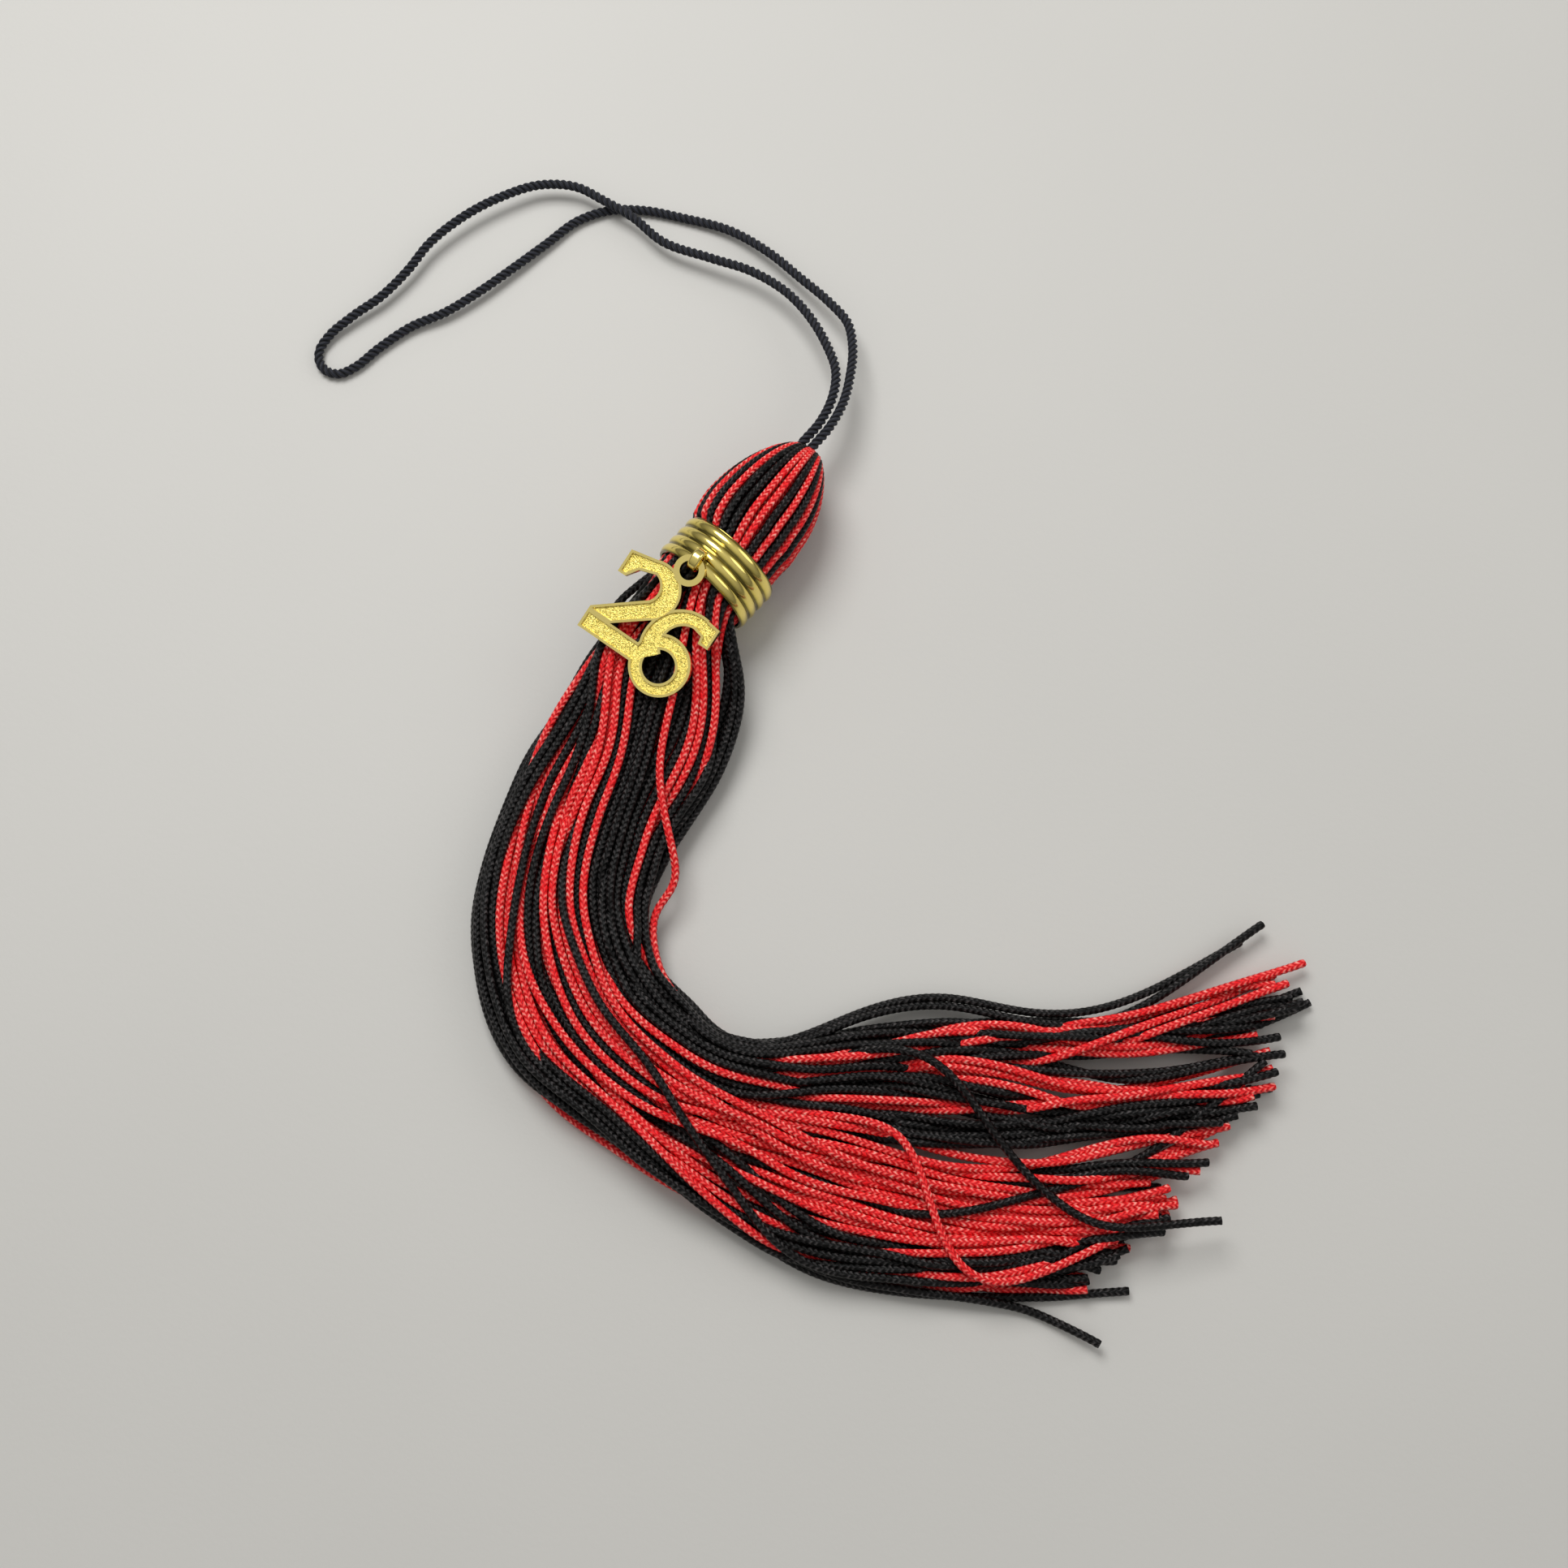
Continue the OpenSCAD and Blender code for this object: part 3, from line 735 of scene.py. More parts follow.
    ("R", 3, 0.2, [(10, 2), (30, 4), (50, 6), (80, 6), (110, 5), (125, 10), (140, 13, 0.5),
        (155, 16.4, 0.9), (162, 16.6, 0.7), (169, 15.2, 0.93), (180, 16.5, 0.85), (190, 18),
        (200, 21)]),
    ("B", 5, 0.3, [(10, 0), (50, 2, 0.2), (110, 2.5, 0.2), (125, 3.8, 0.5), (138, 3, 0.8),
        (146, 1.6, 0.93), (155, 0.6), (165, 0), (175, 0.6), (186, 2.5), (200, 5.5)]),
    ("B", 4, 0.3, [(10, 4), (30, 6), (50, 8), (80, 9), (110, 7), (125, 13), (140, 15),
        (155, 15.5, 0.7), (170, 16, 0.85), (182, 17), (200, 21)]),
    ("B", 3, 0.2, [(10, 1), (30, 0), (50, -1), (80, -3), (110, -3), (125, -3), (140, -6), (155, -9),
        (170, -11), (190, -11)]),
    ("B", 2, 0.2, [(10, -2), (30, -4), (50, -6), (80, -6), (110, -6), (125, -7.7), (145, -7),
        (160, -7.6, 0.7), (168, -8, 0.95), (174, -8), (179, -6.4), (186, -4.5), (197, -6.4)]),
    # the outer edge: black, with short stretches of red between
    ("B", 2, 0.95, [(10, -4.5), (20, -8), (28, -10), (33, -8.4), (38, -5.6), (43, -4.6), (50, -4.4),
        (56, -5.2), (62, -5), (68, -4.6), (75, -4.6, 0.85), (82, -4.7, 0.7), (87, -4.8, 0.5),
        (100, -4.5, 0.5), (113, -5, 0.75), (116, -5.9, 0.97), (120, -7.2), (125, -9.9),
        (130, -14.1), (138, -18.2), (144, -19.5), (151, -20.5), (157, -21.5), (170, -21.7),
        (178, -20), (192, -19)]),
    ("R", 1, 0.5, [(10, -5), (30, -8.5), (39, -6, 0.75), (43, -6.3, 0.97), (47, -7.1), (51, -7.4),
        (56, -7), (60, -6.2), (63, -6, 0.75), (80, -3, 0.5), (100, -6, 0.7), (106, -7.3, 0.93),
        (113, -8.6), (120, -11.7), (127, -13.4, 0.85), (135, -15), (145, -17), (160, -19),
        (175, -18.5), (190, -17)]),
    ("R", 1, 0.5, [(10, -5.5), (40, -6), (58, -6.6, 0.75), (62, -6.6, 0.93), (67, -5.8),
        (71, -6.2, 0.75), (75, -6.7, 0.97), (80, -5.8), (85, -4.9), (92, -5.1), (100, -5.5),
        (105, -5.3), (110, -4.3), (115, -3.2), (122, -3.4), (130, -7.1), (140, -9.6), (150, -12.4),
        (160, -15), (170, -15.5), (190, -15)]),
    ("B", 1, 0.93, [(10, -5), (20, -8.6), (28, -10.2), (36, -8), (43, -7.8), (50, -8.5), (56, -8.4),
        (61, -7.4), (66, -6.4, 1.05), (70, -6.1), (74, -7.2), (77.5, -9), (81, -11.3),
        (86, -12.2, 0.85), (95, -10.5), (102, -10.4), (110, -11.9), (120, -15.1), (130, -18),
        (150, -21.4), (175, -22.6)]),
    ("R", 1, 0.5, [(10, -6), (30, -10), (43, -9.2, 0.75), (46, -9.4, 0.93), (50, -9.7), (54, -10),
        (57, -10, 0.75), (66, -8.4), (69, -7.7, 0.97), (74, -8.1), (79, -9), (85, -9.2),
        (90, -9.3, 0.7), (105, -8.5, 0.7), (112, -9.8, 0.93), (120, -13), (130, -16.1), (140, -18),
        (155, -19.8), (170, -20), (188, -19.5)]),
    ("R", 1, 0.5, [(10, -6.5), (30, -10.2), (50, -10.6, 0.75), (54, -10.6, 0.97), (59, -9.5),
        (64, -8.3), (67, -8.2, 0.75), (76, -7.6), (81, -7.6, 0.97), (87, -7.9), (93, -6.9),
        (97, -6.6), (101, -7.4), (105, -8.7), (110, -9.9), (115, -11.9), (120, -14.1), (126, -16.6),
        (135, -19.8), (145, -21.4), (156, -22.5), (170, -22.4), (186, -21.5)]),
    ("R", 1, 0.6, [(10, -6.5), (28, -10.6, 0.75), (34, -12, 0.93), (44, -13.4), (48, -13, 0.75),
        (57, -12), (61, -11.1, 0.97), (65, -10.1), (70, -9.4), (74, -10), (80, -10.4), (86, -10.5),
        (91, -10.3, 0.7), (105, -7.8, 0.7), (112, -7.7, 0.85), (120, -9), (128, -11.5),
        (140, -14.5), (155, -17), (170, -17.5), (188, -16.5)]),
    ("B", 2, 0.93, [(10, -5.5), (20, -8.4), (30, -10), (38, -9.8), (45, -10.8), (52, -11.6),
        (60, -12.4), (70, -11.8), (80, -12), (90, -10.4), (95, -8.9, 0.97), (100, -9), (105, -10),
        (112, -11.8), (120, -14.9), (130, -17.6), (145, -20), (160, -21.6), (178, -21)]),
    ("B", 4, 0.7, [(10, -6), (20, -9), (30, -10.4), (40, -11.8), (50, -12.6), (65, -12.8),
        (80, -13), (90, -11.8), (97, -10), (105, -10.2), (115, -12), (125, -14.8), (140, -18.2),
        (150, -19.4), (160, -21), (170, -21.2), (180, -19.6), (190, -18.5)]),
    ("B", 3, 0.35, [(10, -6), (20, -8.4), (30, -9.2), (50, -10), (80, -10.5), (97, -8.6),
        (110, -10.3), (125, -13.2), (140, -17), (155, -20, 0.6), (170, -22.4, 0.8), (180, -21.6),
        (188, -21)]),
    ("R", 2, 0.3, [(10, -5), (22, -7.5), (50, -8), (80, -10), (88, -12.1, 0.4), (94, -12.4),
        (101, -10.8), (110, -11.3), (125, -15.7), (140, -20), (155, -23), (185, -25.5)]),
    # single cords that stray from the bundle or cross over it
    ("B", 1, 0.5, [(10, -7.5), (14, -11), (18, -13.4), (22, -13.1), (26, -11.2), (30, -11.9),
        (38, -13.6), (46, -14.4), (60, -14.4), (75, -14.4), (82, -15), (90, -13.6), (97, -11.6),
        (103, -11.2), (110, -12.3), (118, -14.6), (125, -16.8), (130, -19.6), (137, -22.8),
        (147, -25.2), (157, -26), (167, -27), (180, -27.7), (192, -27.2)]),
    ("B", 1, 0.5, [(10, -7), (20, -9.2), (30, -11.3), (38, -13), (50, -14), (80, -14.4),
        (90, -12.8), (97, -11), (103, -10.4), (110, -11.7), (120, -14.1), (130, -19), (141, -23.6),
        (150, -25.2), (160, -26.2), (168, -27.4), (173, -28.6), (180, -32), (190, -37.5)]),
    ("B", 1, 0.3, [(10, 4), (22, 7), (50, 8), (80, 9), (113, 7), (125, 10, 0.6), (133, 13.6, 0.85),
        (139, 14.4, 1.8), (145, 13.4), (150, 10.8), (154, 7), (157, 3.2), (161, -1.3), (165, -5.4),
        (170, -9.8), (175, -13.4), (180, -16.2), (185, -17.6), (192, -17.6), (203, -16.4)]),
    ("B", 1, 0.3, [(10, 5), (22, 7), (50, 6), (113, 3), (130, 2), (150, -8), (165, -14),
        (172, -17, 0.6), (180, -19, 0.9), (187, -18.8), (194, -18.4)]),
    ("R", 1, 0.3, [(10, 3), (22, 4), (50, 4), (80, 2), (113, 3, 0.5), (132, 3.4, 0.95),
        (138, 2.4, 1.8), (143, 0.6), (147, -2), (149, -5.4), (150.5, -10), (152.5, -14.4),
        (155, -18.8), (158, -22), (162, -24.4), (166, -25.2), (170, -24.8), (175, -23),
        (180, -20.8), (187, -17)]),
]

# Single cords at the list's end, which end at their way's last place
STRAYS = 5

# Tables by distance along the bundle, in millimetres. First the bundle's half width, and the
# height of its top
HALF_WIDTH = [(10, 9.5), (20, 13), (30, 15.5), (60, 15.5), (100, 14), (112, 13.5), (130, 20),
              (150, 24), (170, 26), (200, 30)]
PILE = [(10, 17.5), (20, 14.5), (40, 10.5), (60, 8.6), (100, 8.4), (130, 6.5), (170, 4.6),
        (215, 3.8)]
# How far cords waver off their ways, and how much of the tie of those on top still counts
WAVER = [(20, 0), (60, 0.45), (105, 0.6), (130, 1.3), (160, 1.5), (180, 2.3), (215, 3.6)]
ON_TOP = [(165, 1.0), (190, 0.4)]
# How much looser the cords lie above each other than side by side
LOFT = [(9, 1.0), (30, 1.3), (110, 1.3), (150, 1.25), (200, 1.1)]
# Share of a lock's own spacing to which it has opened below the band
OPENING = [(10, 0.7), (30, 1.0)]

# How much further than the middle cords the others end, by their place across the bundle,
# how far before the middle cords' ends that place is read, and how uneven the ends are
TIPS = [
    (-28, -12), (-23, -14), (-19, -10), (-16, -6), (-12, -6), (-9, -7), (-6, -4), (-3, -2), (0, 0),
    (5, 2.5), (10, 2.5), (14, 1), (19, 3), (25, 0), (33, -6),
]
TIP_BACK = 6
TIP_UNEVEN = 1.8

# Where the bundle is worked out below the band, and the spacing of a finished line's points
BUNDLE_START = 12.0
BUNDLE_END = 222.0
BUNDLE_STEP = 2.6
LINE_STEP = 1.0

# A lock with this many cords or more lies in two rows. Cords of a row lie so far apart, and
# rows so far to the side and below each other.
TWO_ROWS = 4
LOCK_PITCH = 1.35
ROW_SHIFT = 0.6
ROW_UNDER = 0.16
# The height in the band of a lock on top, and of one underneath
FED_ABOVE = 8
FED_BELOW = -8

# Distances in which a cord goes from its place in the band to its way: most cords, those
# that start at the inner edge, and strays
BLEND = 14
BLEND_INNER = 8
BLEND_STRAY = 7
# Where along the bundle the inner edge is read, where it starts and how wide its change is
INNER_EDGE_RUN = 20
INNER_EDGE = 7
INNER_EDGE_WIDTH = 4
# How firmly cords and strays keep to their ways as the bundle settles
HOLD = 0.06
HOLD_STRAY = 0.5
# Height of the lowest cords' middles, and how round the pile's top is, from 0 for flat to 1
LEAST_HEIGHT = 0.75
DOMED = 0.75
SEED = 26
# Waves of each half: number, least and greatest size, lengths to the side and in height, and
# the share of the height's waves
WAVES = 3
WAVE_SIZES = (0.25, 0.8)
WAVE_LENGTHS = (32, 90)
RISE_LENGTHS = (22, 60)
RISE_SHARE = 0.75
# How loose cords lie underneath, how much less on top, and how loose strays are
LOOSE_BELOW = 1.3
TIED_ON_TOP = 0.75
LOOSE_STRAY = 0.2
# How much thicker a cord is for its neighbours than its diameter, and how near to that two
# cords are pressed
PUFF = 1.06
PRESS = 0.97

Slot = namedtuple("Slot", "across height colour")
Way = namedtuple("Way", "colour layer spots side under end")


def table_at(table, places):
    """A table's values at places, on straight lines between its own."""
    return np.interp(places, *np.array(table, float).T)


def spine_at(run):
    """Middle of the bundle and its direction across, at distances along it."""
    x, y, turn = smooth(SPINE_RUN, SPINE, run).T
    turn = np.radians(turn)
    return np.stack([x, y], 1), np.stack([np.cos(turn), np.sin(turn)], 1)


def band_slots():
    """Places in the band of both halves of every folded cord, upper halves first."""
    slots = []
    for radius, colours in RINGS:
        for k, colour in enumerate(colours):
            angle = math.pi * (1 - (k + 0.5) / len(colours))
            slots.append(Slot(radius * math.cos(angle), radius * math.sin(angle), colour))
    return slots + [Slot(slot.across, -slot.height, slot.colour) for slot in slots]


def lock_ways():
    """The way of every cord half. Cords of a lock go side by side."""
    ways = []
    for place, (colour, number, layer, spots) in enumerate(LOCKS):
        rows = 1 if number < TWO_ROWS else 2
        columns = (number + rows - 1) // rows
        end = spots[-1][0] if place >= len(LOCKS) - STRAYS else None
        for k in range(number):
            row, column = k % rows, k // rows
            side = (column - (columns - 1) / 2) * LOCK_PITCH + (row - (rows - 1) / 2) * ROW_SHIFT
            ways.append(Way(colour, layer, spots, side, ROW_UNDER * row, end))
    return ways


def laid_halves(slots):
    """A way for each slot. The slots nearest to a lock's start feed it."""
    match = [None] * len(slots)
    for colour in "BR":
        free = [k for k, slot in enumerate(slots) if slot.colour == colour]
        ways = [way for way in lock_ways() if way.colour == colour]
        if len(free) != len(ways):
            raise RuntimeError("the locks need %d cord halves of %s, and there are %d" % (
                len(ways), colour, len(free)))
        start = np.array([
            (way.spots[0][1] + way.side,
             (FED_ABOVE - FED_BELOW) * (way.layer - way.under) + FED_BELOW) for way in ways])
        place = np.array([slots[k][:2] for k in free])
        cost = ((place[:, None] - start[None]) ** 2).sum(2)
        order = list(range(len(free)))
        better = True
        while better:
            better = False
            for a in range(len(order)):
                for b in range(a):
                    gain = (cost[a, order[a]] + cost[b, order[b]]
                            - cost[a, order[b]] - cost[b, order[a]])
                    if gain > 1e-9:
                        order[a], order[b] = order[b], order[a]
                        better = True
        for k, line in zip(free, order):
            match[k] = ways[line]
    return match


# Settling. Early and late rounds: pull to the wanted height, sinking and stiffness
EARLY = (0.05, 0.03, 0.35)
LATE = (0.015, 0.01, 0.2)
EARLY_SHARE = 0.8
ROUNDS = 150
# Sweeps in each round that push cords apart, each by a share of their overlap and by so
# many millimetres at most
SWEEPS = 3
PUSH_SHARE = 0.34
PUSH_MOST = 0.4
# Least room under a cord, and the strength and number of the last smoothing's sweeps
ROOM_BELOW = 0.12
SMOOTHING = 0.4
SMOOTHINGS = 3


def settle(want_u, want_z, held, hold, size, loft, rounds):
    """Lets the halves sink onto the surface and onto each other at every place along the
    bundle, while each keeps near its wanted way, by its own hold, and stays smooth."""
    u, z = want_u.copy(), want_z.copy()
    itself = np.arange(len(u))
    low = size / 2 + ROOM_BELOW
    for turn in range(rounds):
        pull, sink, stiff = EARLY if turn < rounds * EARLY_SHARE else LATE
        u += hold[:, None] * (want_u - u)
        z += pull * (want_z - z) - sink
        for line in (u, z):
            bend = np.zeros_like(line)
            bend[:, 1:-1] = (line[:, :-2] + line[:, 2:]) / 2 - line[:, 1:-1]
            bend[:, -1] = (2 * line[:, -2] - line[:, -3] - line[:, -1]) * 0.5
            line += stiff * bend
        u[:, held], z[:, held] = want_u[:, held], want_z[:, held]
        for _ in range(SWEEPS):
            du = u[:, None, :] - u[None, :, :]
            dz = (z[:, None, :] - z[None, :, :]) / loft
            gap = np.sqrt(du * du + dz * dz) + 1e-6
            push = np.clip(size - gap, 0, None) * PUSH_SHARE / gap
            push[itself, itself] = 0
            u += np.clip((push * du).sum(1), -PUSH_MOST, PUSH_MOST)
            z += np.clip((push * dz).sum(1) * loft, -PUSH_MOST, PUSH_MOST)
            u[:, held], z[:, held] = want_u[:, held], want_z[:, held]
            np.maximum(z, low, out=z)
    for _ in range(SMOOTHINGS):
        for line in (u, z):
            line[:, 1:-1] += SMOOTHING * ((line[:, :-2] + line[:, 2:]) / 2 - line[:, 1:-1])
        u[:, held], z[:, held] = want_u[:, held], want_z[:, held]
    return u, z


# Head, in millimetres: its middle's x, where its folds start, how much wider they start than
# in the band, how far the outermost goes up, and the half width of its top
HEAD_X = 0.75
HEAD_BASE_Y = 9.5
HEAD_SWELL = 1.13
HEAD_TOP_Y = 26.3
HEAD_TOP_HALF = 3.4
# The neck's rings between band and head, as y and how much wider than in the band
NECK = ((5.2, 1.06), (7.2, 1.12))
# How early the head narrows, where 1 is an even dome
HEAD_TAPER = 1.7
# By how much the innermost fold and the outermost columns stay below the top
HEAD_NESTING = 9.5
HEAD_SHOULDER = 1.6
# How far the head's middle drifts to the side, over how much of its length
HEAD_DRIFT = 1.5
HEAD_DRIFT_RUN = 16
FOLD_STEPS = 17
# Share by which a cord is thinner where its fold is squeezed most
FOLD_SQUEEZE = 0.22


def head_line(slot):
    """Way of one folded cord over the head, from its upper place in the band to its lower."""
    radius = math.hypot(slot.across, slot.height)
    share = radius / RINGS[0][0]
    lean = slot.across / radius
    rise = (HEAD_TOP_Y - HEAD_BASE_Y - (1 - share) * HEAD_NESTING
            - HEAD_SHOULDER * abs(lean) ** 3)
    top_half = HEAD_TOP_HALF * share
    neck = [(HEAD_X + slot.across * grown, y, slot.height * grown) for y, grown in NECK]
    points = [(x, y, BAND_AXIS_Z + height) for x, y, height in neck]
    for fold in np.linspace(0, math.pi, FOLD_STEPS):
        wide = top_half + (radius * HEAD_SWELL - top_half) * abs(math.cos(fold)) ** HEAD_TAPER
        y = HEAD_BASE_Y + rise * math.sin(fold)
        middle = HEAD_X + HEAD_DRIFT * (y - HEAD_BASE_Y) / HEAD_DRIFT_RUN
        height = slot.height * HEAD_SWELL * math.cos(fold)
        points.append((middle + lean * wide, y, BAND_AXIS_Z + height))
    points += [(x, y, 2 * BAND_AXIS_Z - z) for x, y, z in points[1::-1]]
    return np.array(points)


def wave(scale, run, dice, lengths):
    """A random wave along the bundle."""
    return scale * dice.uniform(*WAVE_SIZES) * np.sin(
        math.tau * (run / dice.uniform(*lengths) + dice.uniform()))


def wanted_line(slot, way, run, dice):
    """Where a half is wanted along the bundle, across it and in height, from its slot on."""
    level, heights = way.layer, []
    for spot in way.spots:
        level = spot[2] if len(spot) > 2 else level
        heights.append((spot[0], level))
    layer = table_at(heights, run) - way.under
    knots, across = np.array([spot[:2] for spot in way.spots], float).T
    line = smooth(knots, across, run) + way.side * table_at(OPENING, run)
    waver = table_at(WAVER, run)
    loose, spread = LOOSE_STRAY, BLEND_STRAY
    if way.end is None:
        loose = LOOSE_BELOW - TIED_ON_TOP * layer * table_at(ON_TOP, run)
    rise = np.zeros(len(run))
    for _ in range(WAVES):
        line += wave(waver * loose, run, dice, WAVE_LENGTHS)
        rise += wave(RISE_SHARE * waver, run, dice, RISE_LENGTHS)
    if way.end is None:
        inner = (np.interp(INNER_EDGE_RUN, run, line) - INNER_EDGE) / INNER_EDGE_WIDTH
        spread = BLEND - (BLEND - BLEND_INNER) * np.clip(inner, 0, 1)
    blend = np.clip((run - BAND_RUN[-1]) / spread, 0, 1)
    blend = blend * blend * (3 - 2 * blend)
    want = slot.across * (1 - blend) + line * blend
    dome = np.sqrt(1 - DOMED * np.clip(np.abs(want) / table_at(HALF_WIDTH, run), 0, 1) ** 2)
    lying = LEAST_HEIGHT + layer * table_at(PILE, run) * dome + rise
    return want, (BAND_AXIS_Z + slot.height) * (1 - blend) + lying * blend


@functools.cache
def skein(diameter, fringe):
    """Ways of all the folded cords, as (colour, points, plumpness), in metres. Diameter and
    the fringe's length are in millimetres."""
    slots = band_slots()
    match = laid_halves(slots)
    run = np.r_[BAND_RUN, np.arange(BUNDLE_START, BUNDLE_END, BUNDLE_STEP)]
    dice = np.random.default_rng(SEED)
    wanted = [wanted_line(slot, way, run, dice) for slot, way in zip(slots, match)]
    want_u, want_z = (np.array(half) for half in zip(*wanted))
    hold = np.array([HOLD if way.end is None else HOLD_STRAY for way in match])
    u, z = settle(
        want_u, want_z, run < BAND_END, hold, diameter * PUFF * PRESS, table_at(LOFT, run),
        ROUNDS)
    middle, across = spine_at(run)
    halves = []
    for k, way in enumerate(match):
        line = np.column_stack([middle + u[k][:, None] * across, z[k]])
        tip = np.interp(fringe - TIP_BACK, run, u[k])
        end = fringe + table_at(TIPS, tip) + dice.normal(0, TIP_UNEVEN)
        end = way.end or end
        last = np.array([[np.interp(end, run, line[:, axis]) for axis in range(3)]])
        halves.append(even_line(np.vstack([line[run < end], last]), LINE_STEP))
    lines = []
    count = len(slots) // 2
    for slot, upper, lower in zip(slots, halves[:count], halves[count:]):
        head = head_line(slot)
        points = np.vstack([upper[::-1], head, lower])
        tight = np.zeros(len(points))
        over_head = slice(len(upper), len(upper) + len(head))
        tight[over_head] = np.sin(np.linspace(0, math.pi, len(head))) ** 2
        raw, line = run_of(points), even_line(points, LINE_STEP)
        even = run_of(line)
        tight = np.interp(even / even[-1], raw / raw[-1], tight)
        lines.append((slot.colour, line * MM, 1 - FOLD_SQUEEZE * tight))
    return lines


def cord_profile(tree, entry, rail, sides):
    return rail, circle(tree, sides, Value(entry.outputs["Diameter"]) * 0.5)


# Columns of stitches round a cord, how far a stitch slants back from its column's middle to
# its edges, and the sides and rings of the mesh
WALES = 4
SLANT = 0.45
CORD_SIDES = 8
RINGS_PER_STITCH = 4


def stitch_phase(around, turns):
    """Place in its stitch, and distance from its wale's middle, 0 to 1, of a place on the
    cord. Every other wale is half a stitch on."""
    wale = around * float(WALES)
    edge = (wale.math("FRACT") * 2.0 - 1.0).math("ABSOLUTE")
    half = wale.math("FLOOR").math("FLOORED_MODULO", 2.0) * 0.5
    return turns + edge.math("MULTIPLY_ADD", SLANT, half), edge


def stitch_push(tree, entry, skin):
    """Pushes the stitches' bellies out and their ends in."""
    turns = named(tree, "along") / entry.outputs["Pattern length"]
    phase, _ = stitch_phase(named(tree, "around"), turns)
    belly = (phase * math.tau).math("COSINE")
    out = belly * (Value(entry.outputs["Pattern depth"]) * 0.5)
    normal = node(tree, "GeometryNodeInputNormal").outputs[0]
    offset = node(tree, "ShaderNodeVectorMath", {0: normal, "Scale": out}, operation="SCALE")
    return node(tree, "GeometryNodeSetPosition", {
        "Geometry": skin, "Offset": offset.outputs[0]}).outputs[0]


def knitted_shader(name, colour, glint, stitch):
    """Knitted rayon: chains of slanting stitches, darkened by painted shade where they meet, with a
    painted highlight (glint) on the belly of most of them."""
    made, tree, skin = material(name)
    place = object_place(tree)
    around, along, _ = split(tree, node(tree, "ShaderNodeUVMap").outputs["UV"])
    turns = along / stitch
    phase, edge = stitch_phase(around, turns)
    slack = noise(tree, place, scale=380.0, detail=2.0)
    phase = phase + slack.math("MULTIPLY_ADD", 1.1, -0.55)
    belly = (phase * math.tau).math("COSINE").math("MULTIPLY_ADD", 0.5, 0.5)
    # a stitch is narrow where two wales meet
    leg = belly**0.6 * (1.0 - edge**3.0 * 0.6)
    fibre_place = joined(tree, phase * 6.0, edge * 1.5, turns * 0.6)
    fibres = noise(tree, fibre_place, scale=1.0, detail=2.0)
    uneven = noise(tree, place, scale=700.0, detail=1.0)
    worn = noise(tree, place, scale=60.0, detail=2.0)
    # the stitches' relief, also read as their colour below, so that their low places carry painted
    # shade
    lift = leg * 0.75 + fibres * 0.3 + (worn - 0.5) * 0.2
    # the yarn's colour, darkened by painted shade in the low places where stitches meet
    yarn = ramp(tree, lift, (0.06, shade(colour, 0.24)), (0.32, shade(colour, 0.75)),
                (0.62, colour))
    # where the painted highlight (glint) lies on a stitch's belly
    spot = belly**3.0 * (1.0 - edge**1.2)
    spot = spot.math("MULTIPLY", uneven.math("MULTIPLY_ADD", 4.0, -1.3), clamp=True)
    feed(skin, {
        "Base Color": mixed(tree, spot, yarn, (*glint, 1.0)),
        "Normal": bump(tree, lift, strength=0.7, distance=0.0002),
        "Roughness": 0.42,
        "Specular IOR Level": 0.16,
    })
    return made


def knit_cords(colour, nodes, cloth):
    """One knitted piece for each folded cord of a colour."""
    settings = bpy.context.scene.tassel_cords
    tree = bpy.data.node_groups.get("knitted_cord") or swept_tree(
        "knitted_cord", CORD_SIDES, cord_profile, stitch_push)
    lines = [line for line in skein(settings.diameter / MM, settings.fringe_length / MM)
             if line[0] == colour]
    if len(lines) != len(nodes):
        raise RuntimeError("%d cords of %s for %d nodes" % (len(lines), colour, len(nodes)))
    for name, (_, line, plump) in zip(nodes, lines):
        piece = swept_piece(name + "_knitted", line, plump, tree, {
            "Diameter": settings.diameter, "Pattern length": settings.stitch,
            "Pattern depth": settings.stitch_depth,
            "Ring step": settings.stitch / RINGS_PER_STITCH, "Material": cloth})
        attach(piece, "tassel")
        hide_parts(name)


class TASSEL_OT_black_cords(bpy.types.Operator):
    """Knit the black cords"""

    bl_idname = "tassel.black_cords"
    bl_label = "Black cords"

    def execute(self, context):
        made = context.scene.tassel_cords
        knit_cords("B", BLACK_NODES, knitted_shader(
            "black_knitted_cord", made.black, made.black_painted_glint, made.stitch))
        return {"FINISHED"}


class TASSEL_OT_red_cords(bpy.types.Operator):
    """Knit the red cords"""

    bl_idname = "tassel.red_cords"
    bl_label = "Red cords"

    def execute(self, context):
        made = context.scene.tassel_cords
        knit_cords("R", RED_NODES, knitted_shader(
            "red_knitted_cord", made.red, made.red_painted_glint, made.stitch))
        return {"FINISHED"}


# --------------------------------------------------------------- Band, charm

# The band's middle and turn, radius of its grooves and height of its ribs above them, in
# metres and degrees
BAND_PLACE = (0.0002, -0.0012, BAND_AXIS_Z * MM)
BAND_TURN = (0, 0, math.radians(-11))
BAND_GROOVE = 0.00933
BAND_RIB = 0.00035


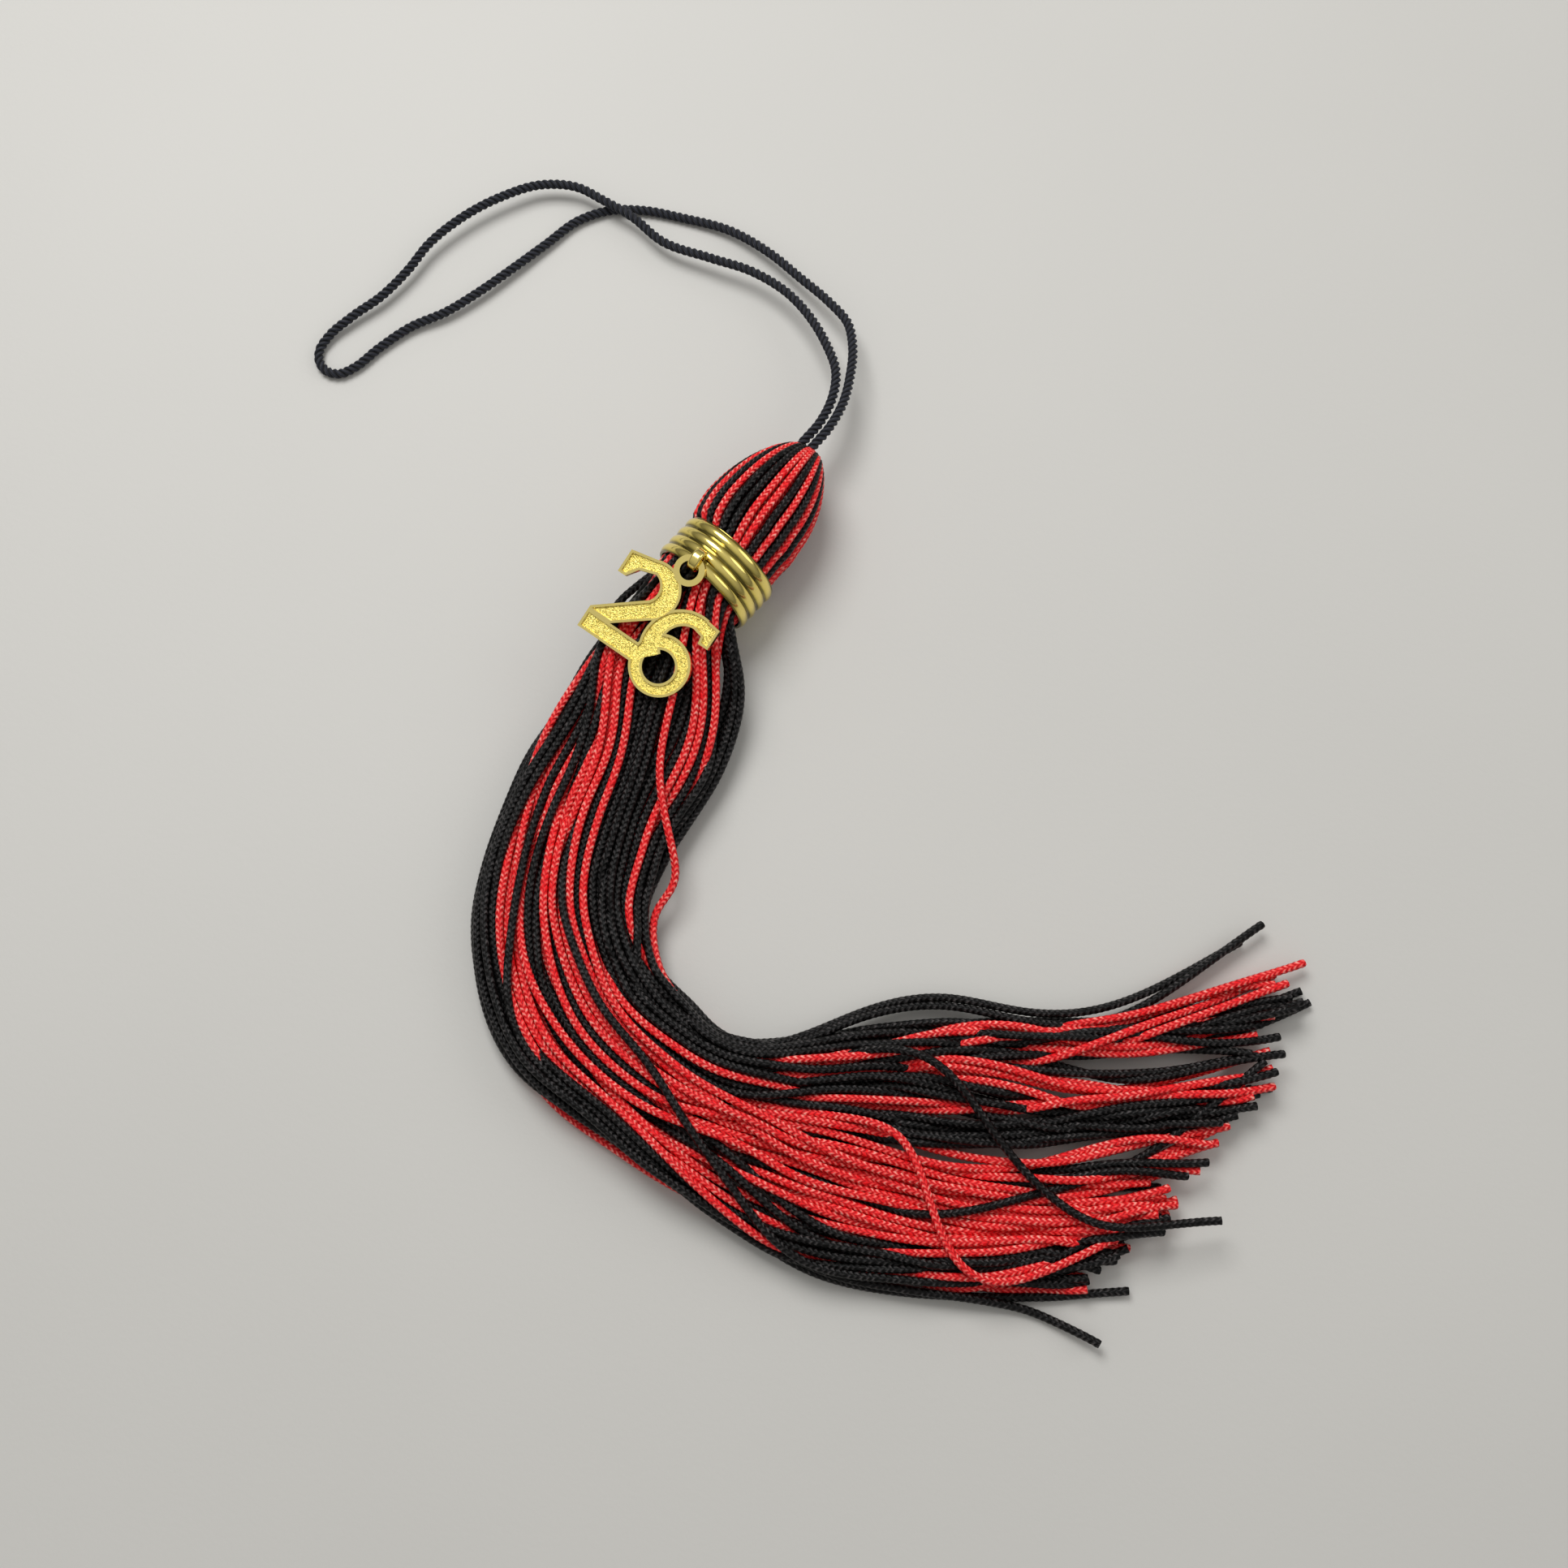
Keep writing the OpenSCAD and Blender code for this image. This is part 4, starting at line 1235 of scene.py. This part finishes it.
def band_shader(colour):
    """Polished gilt brass with faint drawing lines, with painted shade in the grooves and a
    painted highlight on the ribs' tops, in cloudy patches.
    """
    made, tree, skin = material("gilt_band")
    place = object_place(tree)
    drawn = local_place(tree, place, rotation=BAND_TURN, scale=(1.0, 0.05, 1.0))
    lines = noise(tree, drawn, scale=120.0, detail=3.0)
    # patches that shift the painted shade and painted highlight over the ribs
    cloudy = noise(tree, place, scale=260.0, detail=2.0)
    local = local_place(tree, place, location=BAND_PLACE, rotation=BAND_TURN)
    x, _, z = split(tree, local)
    radius = (x**2.0 + z**2.0).math("SQRT")
    # height over the grooves, which sets the colour: painted shade low in the grooves, painted
    # highlight on the ribs' tops
    rib = (radius - BAND_GROOVE) / BAND_RIB + cloudy.math("MULTIPLY_ADD", 0.8, -0.4)
    feed(skin, {
        "Base Color": ramp(tree, rib, (0.0, shade(colour, 0.22)), (0.3, shade(colour, 0.62)),
                           (0.6, colour), (0.95, shade(colour, 1.1, 0.06))),
        "Roughness": lines.math("MULTIPLY_ADD", 0.18, 0.08),
        "Normal": bump(tree, lines, strength=0.06, distance=0.0002),
        "Metallic": 1.0,
    })
    return made


# The charm's dip and turn at rest, in degrees, its rim's height over its middle and the depth
# of its face below the rim, in metres
CHARM_TURN = (math.radians(16.5), 0, math.radians(-4.5))
CHARM_RIM_TOP = 0.0007
CHARM_FACE_DEPTH = 0.0003
# Heights over and under the face that still belong to it, and those of the wall's darkest
# painted shade under the face and of the fade from there to the rim's painted highlight
FACE_REACH = 0.00005
WALL_DEPTH = 0.0004
WALL_FADE = 0.0007


def charm_shader(colour, grain):
    """Gilt casting: polished rim, and a sunk face with a fine grain whose pale specks are painted
    sparkle and whose dark specks are painted shade. The walls are darker and warmer by painted
    shade, and the rim's top carries a painted highlight."""
    made, tree, skin = material("gilt_charm")
    local = local_place(tree, object_place(tree), location=PIVOT, rotation=CHARM_TURN)
    height = split(tree, local)[2]
    floor = CHARM_RIM_TOP - CHARM_FACE_DEPTH
    sunk = height.math("LESS_THAN", floor + FACE_REACH)
    face = sunk * height.math("GREATER_THAN", floor - FACE_REACH)
    grains = Value(node(tree, "ShaderNodeTexVoronoi", {
        "Vector": local, "Scale": 1 / grain}).outputs["Distance"])
    speckle = noise(tree, local, scale=0.7 / grain, detail=2.0)
    cloudy = noise(tree, local, scale=160.0, detail=2.0)
    # height up the wall to the rim's top, shifted in cloudy patches; it sets the painted shade and
    # highlight
    high = (height - (floor - WALL_DEPTH)) / WALL_FADE + cloudy.math("MULTIPLY_ADD", 0.3, -0.15)
    # the walls' colour in painted shade: darker and warmer
    painted_wall_shade = (colour[0] * 0.62, colour[1] * 0.5, colour[2] * 0.3)
    # rim and walls: painted shade low on the walls, rising to a painted highlight on the rim's top
    rim_and_wall_painted_light = ramp(tree, high, (0.3, painted_wall_shade), (0.75, shade(colour, 0.85)),
                  (0.98, shade(colour, 1.05, 0.12)))
    # the face's grain: pale specks are painted sparkle, dark specks painted shade
    grain_sparkle_and_shade = ramp(tree, speckle, (0.36, shade(colour, 0.42)), (0.5, shade(colour, 0.92)),
                   (0.64, shade(colour, 1.1, 0.1)))
    feed(skin, {
        "Base Color": mixed(tree, face, rim_and_wall_painted_light, grain_sparkle_and_shade),
        "Roughness": face.math("MULTIPLY_ADD", 0.24, 0.14),
        "Normal": bump(tree, face * (1.0 - grains), strength=0.6, distance=0.00012),
        "Metallic": 1.0,
    })
    return made


class TASSEL_OT_metal(bpy.types.Operator):
    """Gild the band and the charm"""

    bl_idname = "tassel.metal"
    bl_label = "Band and charm"

    def execute(self, context):
        made = context.scene.tassel_metal
        dress("band", band_shader(made.band))
        dress("charm", charm_shader(made.charm, made.grain))
        return {"FINISHED"}


# ---------------------------------------------------------------------- Panel


class TASSEL_PT_panel(bpy.types.Panel):
    """The tassel's pieces and their settings"""

    bl_label = "Graduation Tassel"
    bl_idname = "TASSEL_PT_panel"
    bl_space_type = "VIEW_3D"
    bl_region_type = "UI"
    bl_category = "Tassel"

    def draw(self, context):
        layout = self.layout
        for step in STEPS:
            layout.operator("tassel." + step)
        for group in SETTINGS:
            box = layout.box()
            values = getattr(context.scene, group)
            for name in values.bl_rna.properties.keys():
                if name not in ("rna_type", "name"):
                    box.prop(values, name)


SETTINGS = {
    "tassel_cords": TasselCordSettings,
    "tassel_loop": TasselLoopSettings,
    "tassel_metal": TasselMetalSettings,
    "tassel_stage": TasselStageSettings,
}
STEPS = ("stage", "hanging_loop", "black_cords", "red_cords", "metal")
CLASSES = (
    *SETTINGS.values(),
    TASSEL_OT_stage,
    TASSEL_OT_hanging_loop,
    TASSEL_OT_black_cords,
    TASSEL_OT_red_cords,
    TASSEL_OT_metal,
    TASSEL_PT_panel,
)


def register():
    for cls in CLASSES:
        bpy.utils.register_class(cls)
    for name, cls in SETTINGS.items():
        setattr(bpy.types.Scene, name, bpy.props.PointerProperty(type=cls))


def unregister():
    for name in SETTINGS:
        delattr(bpy.types.Scene, name)
    for cls in reversed(CLASSES):
        bpy.utils.unregister_class(cls)


def main():
    register()
    for step in STEPS:
        getattr(bpy.ops.tassel, step)()


if __name__ == "__main__":
    main()
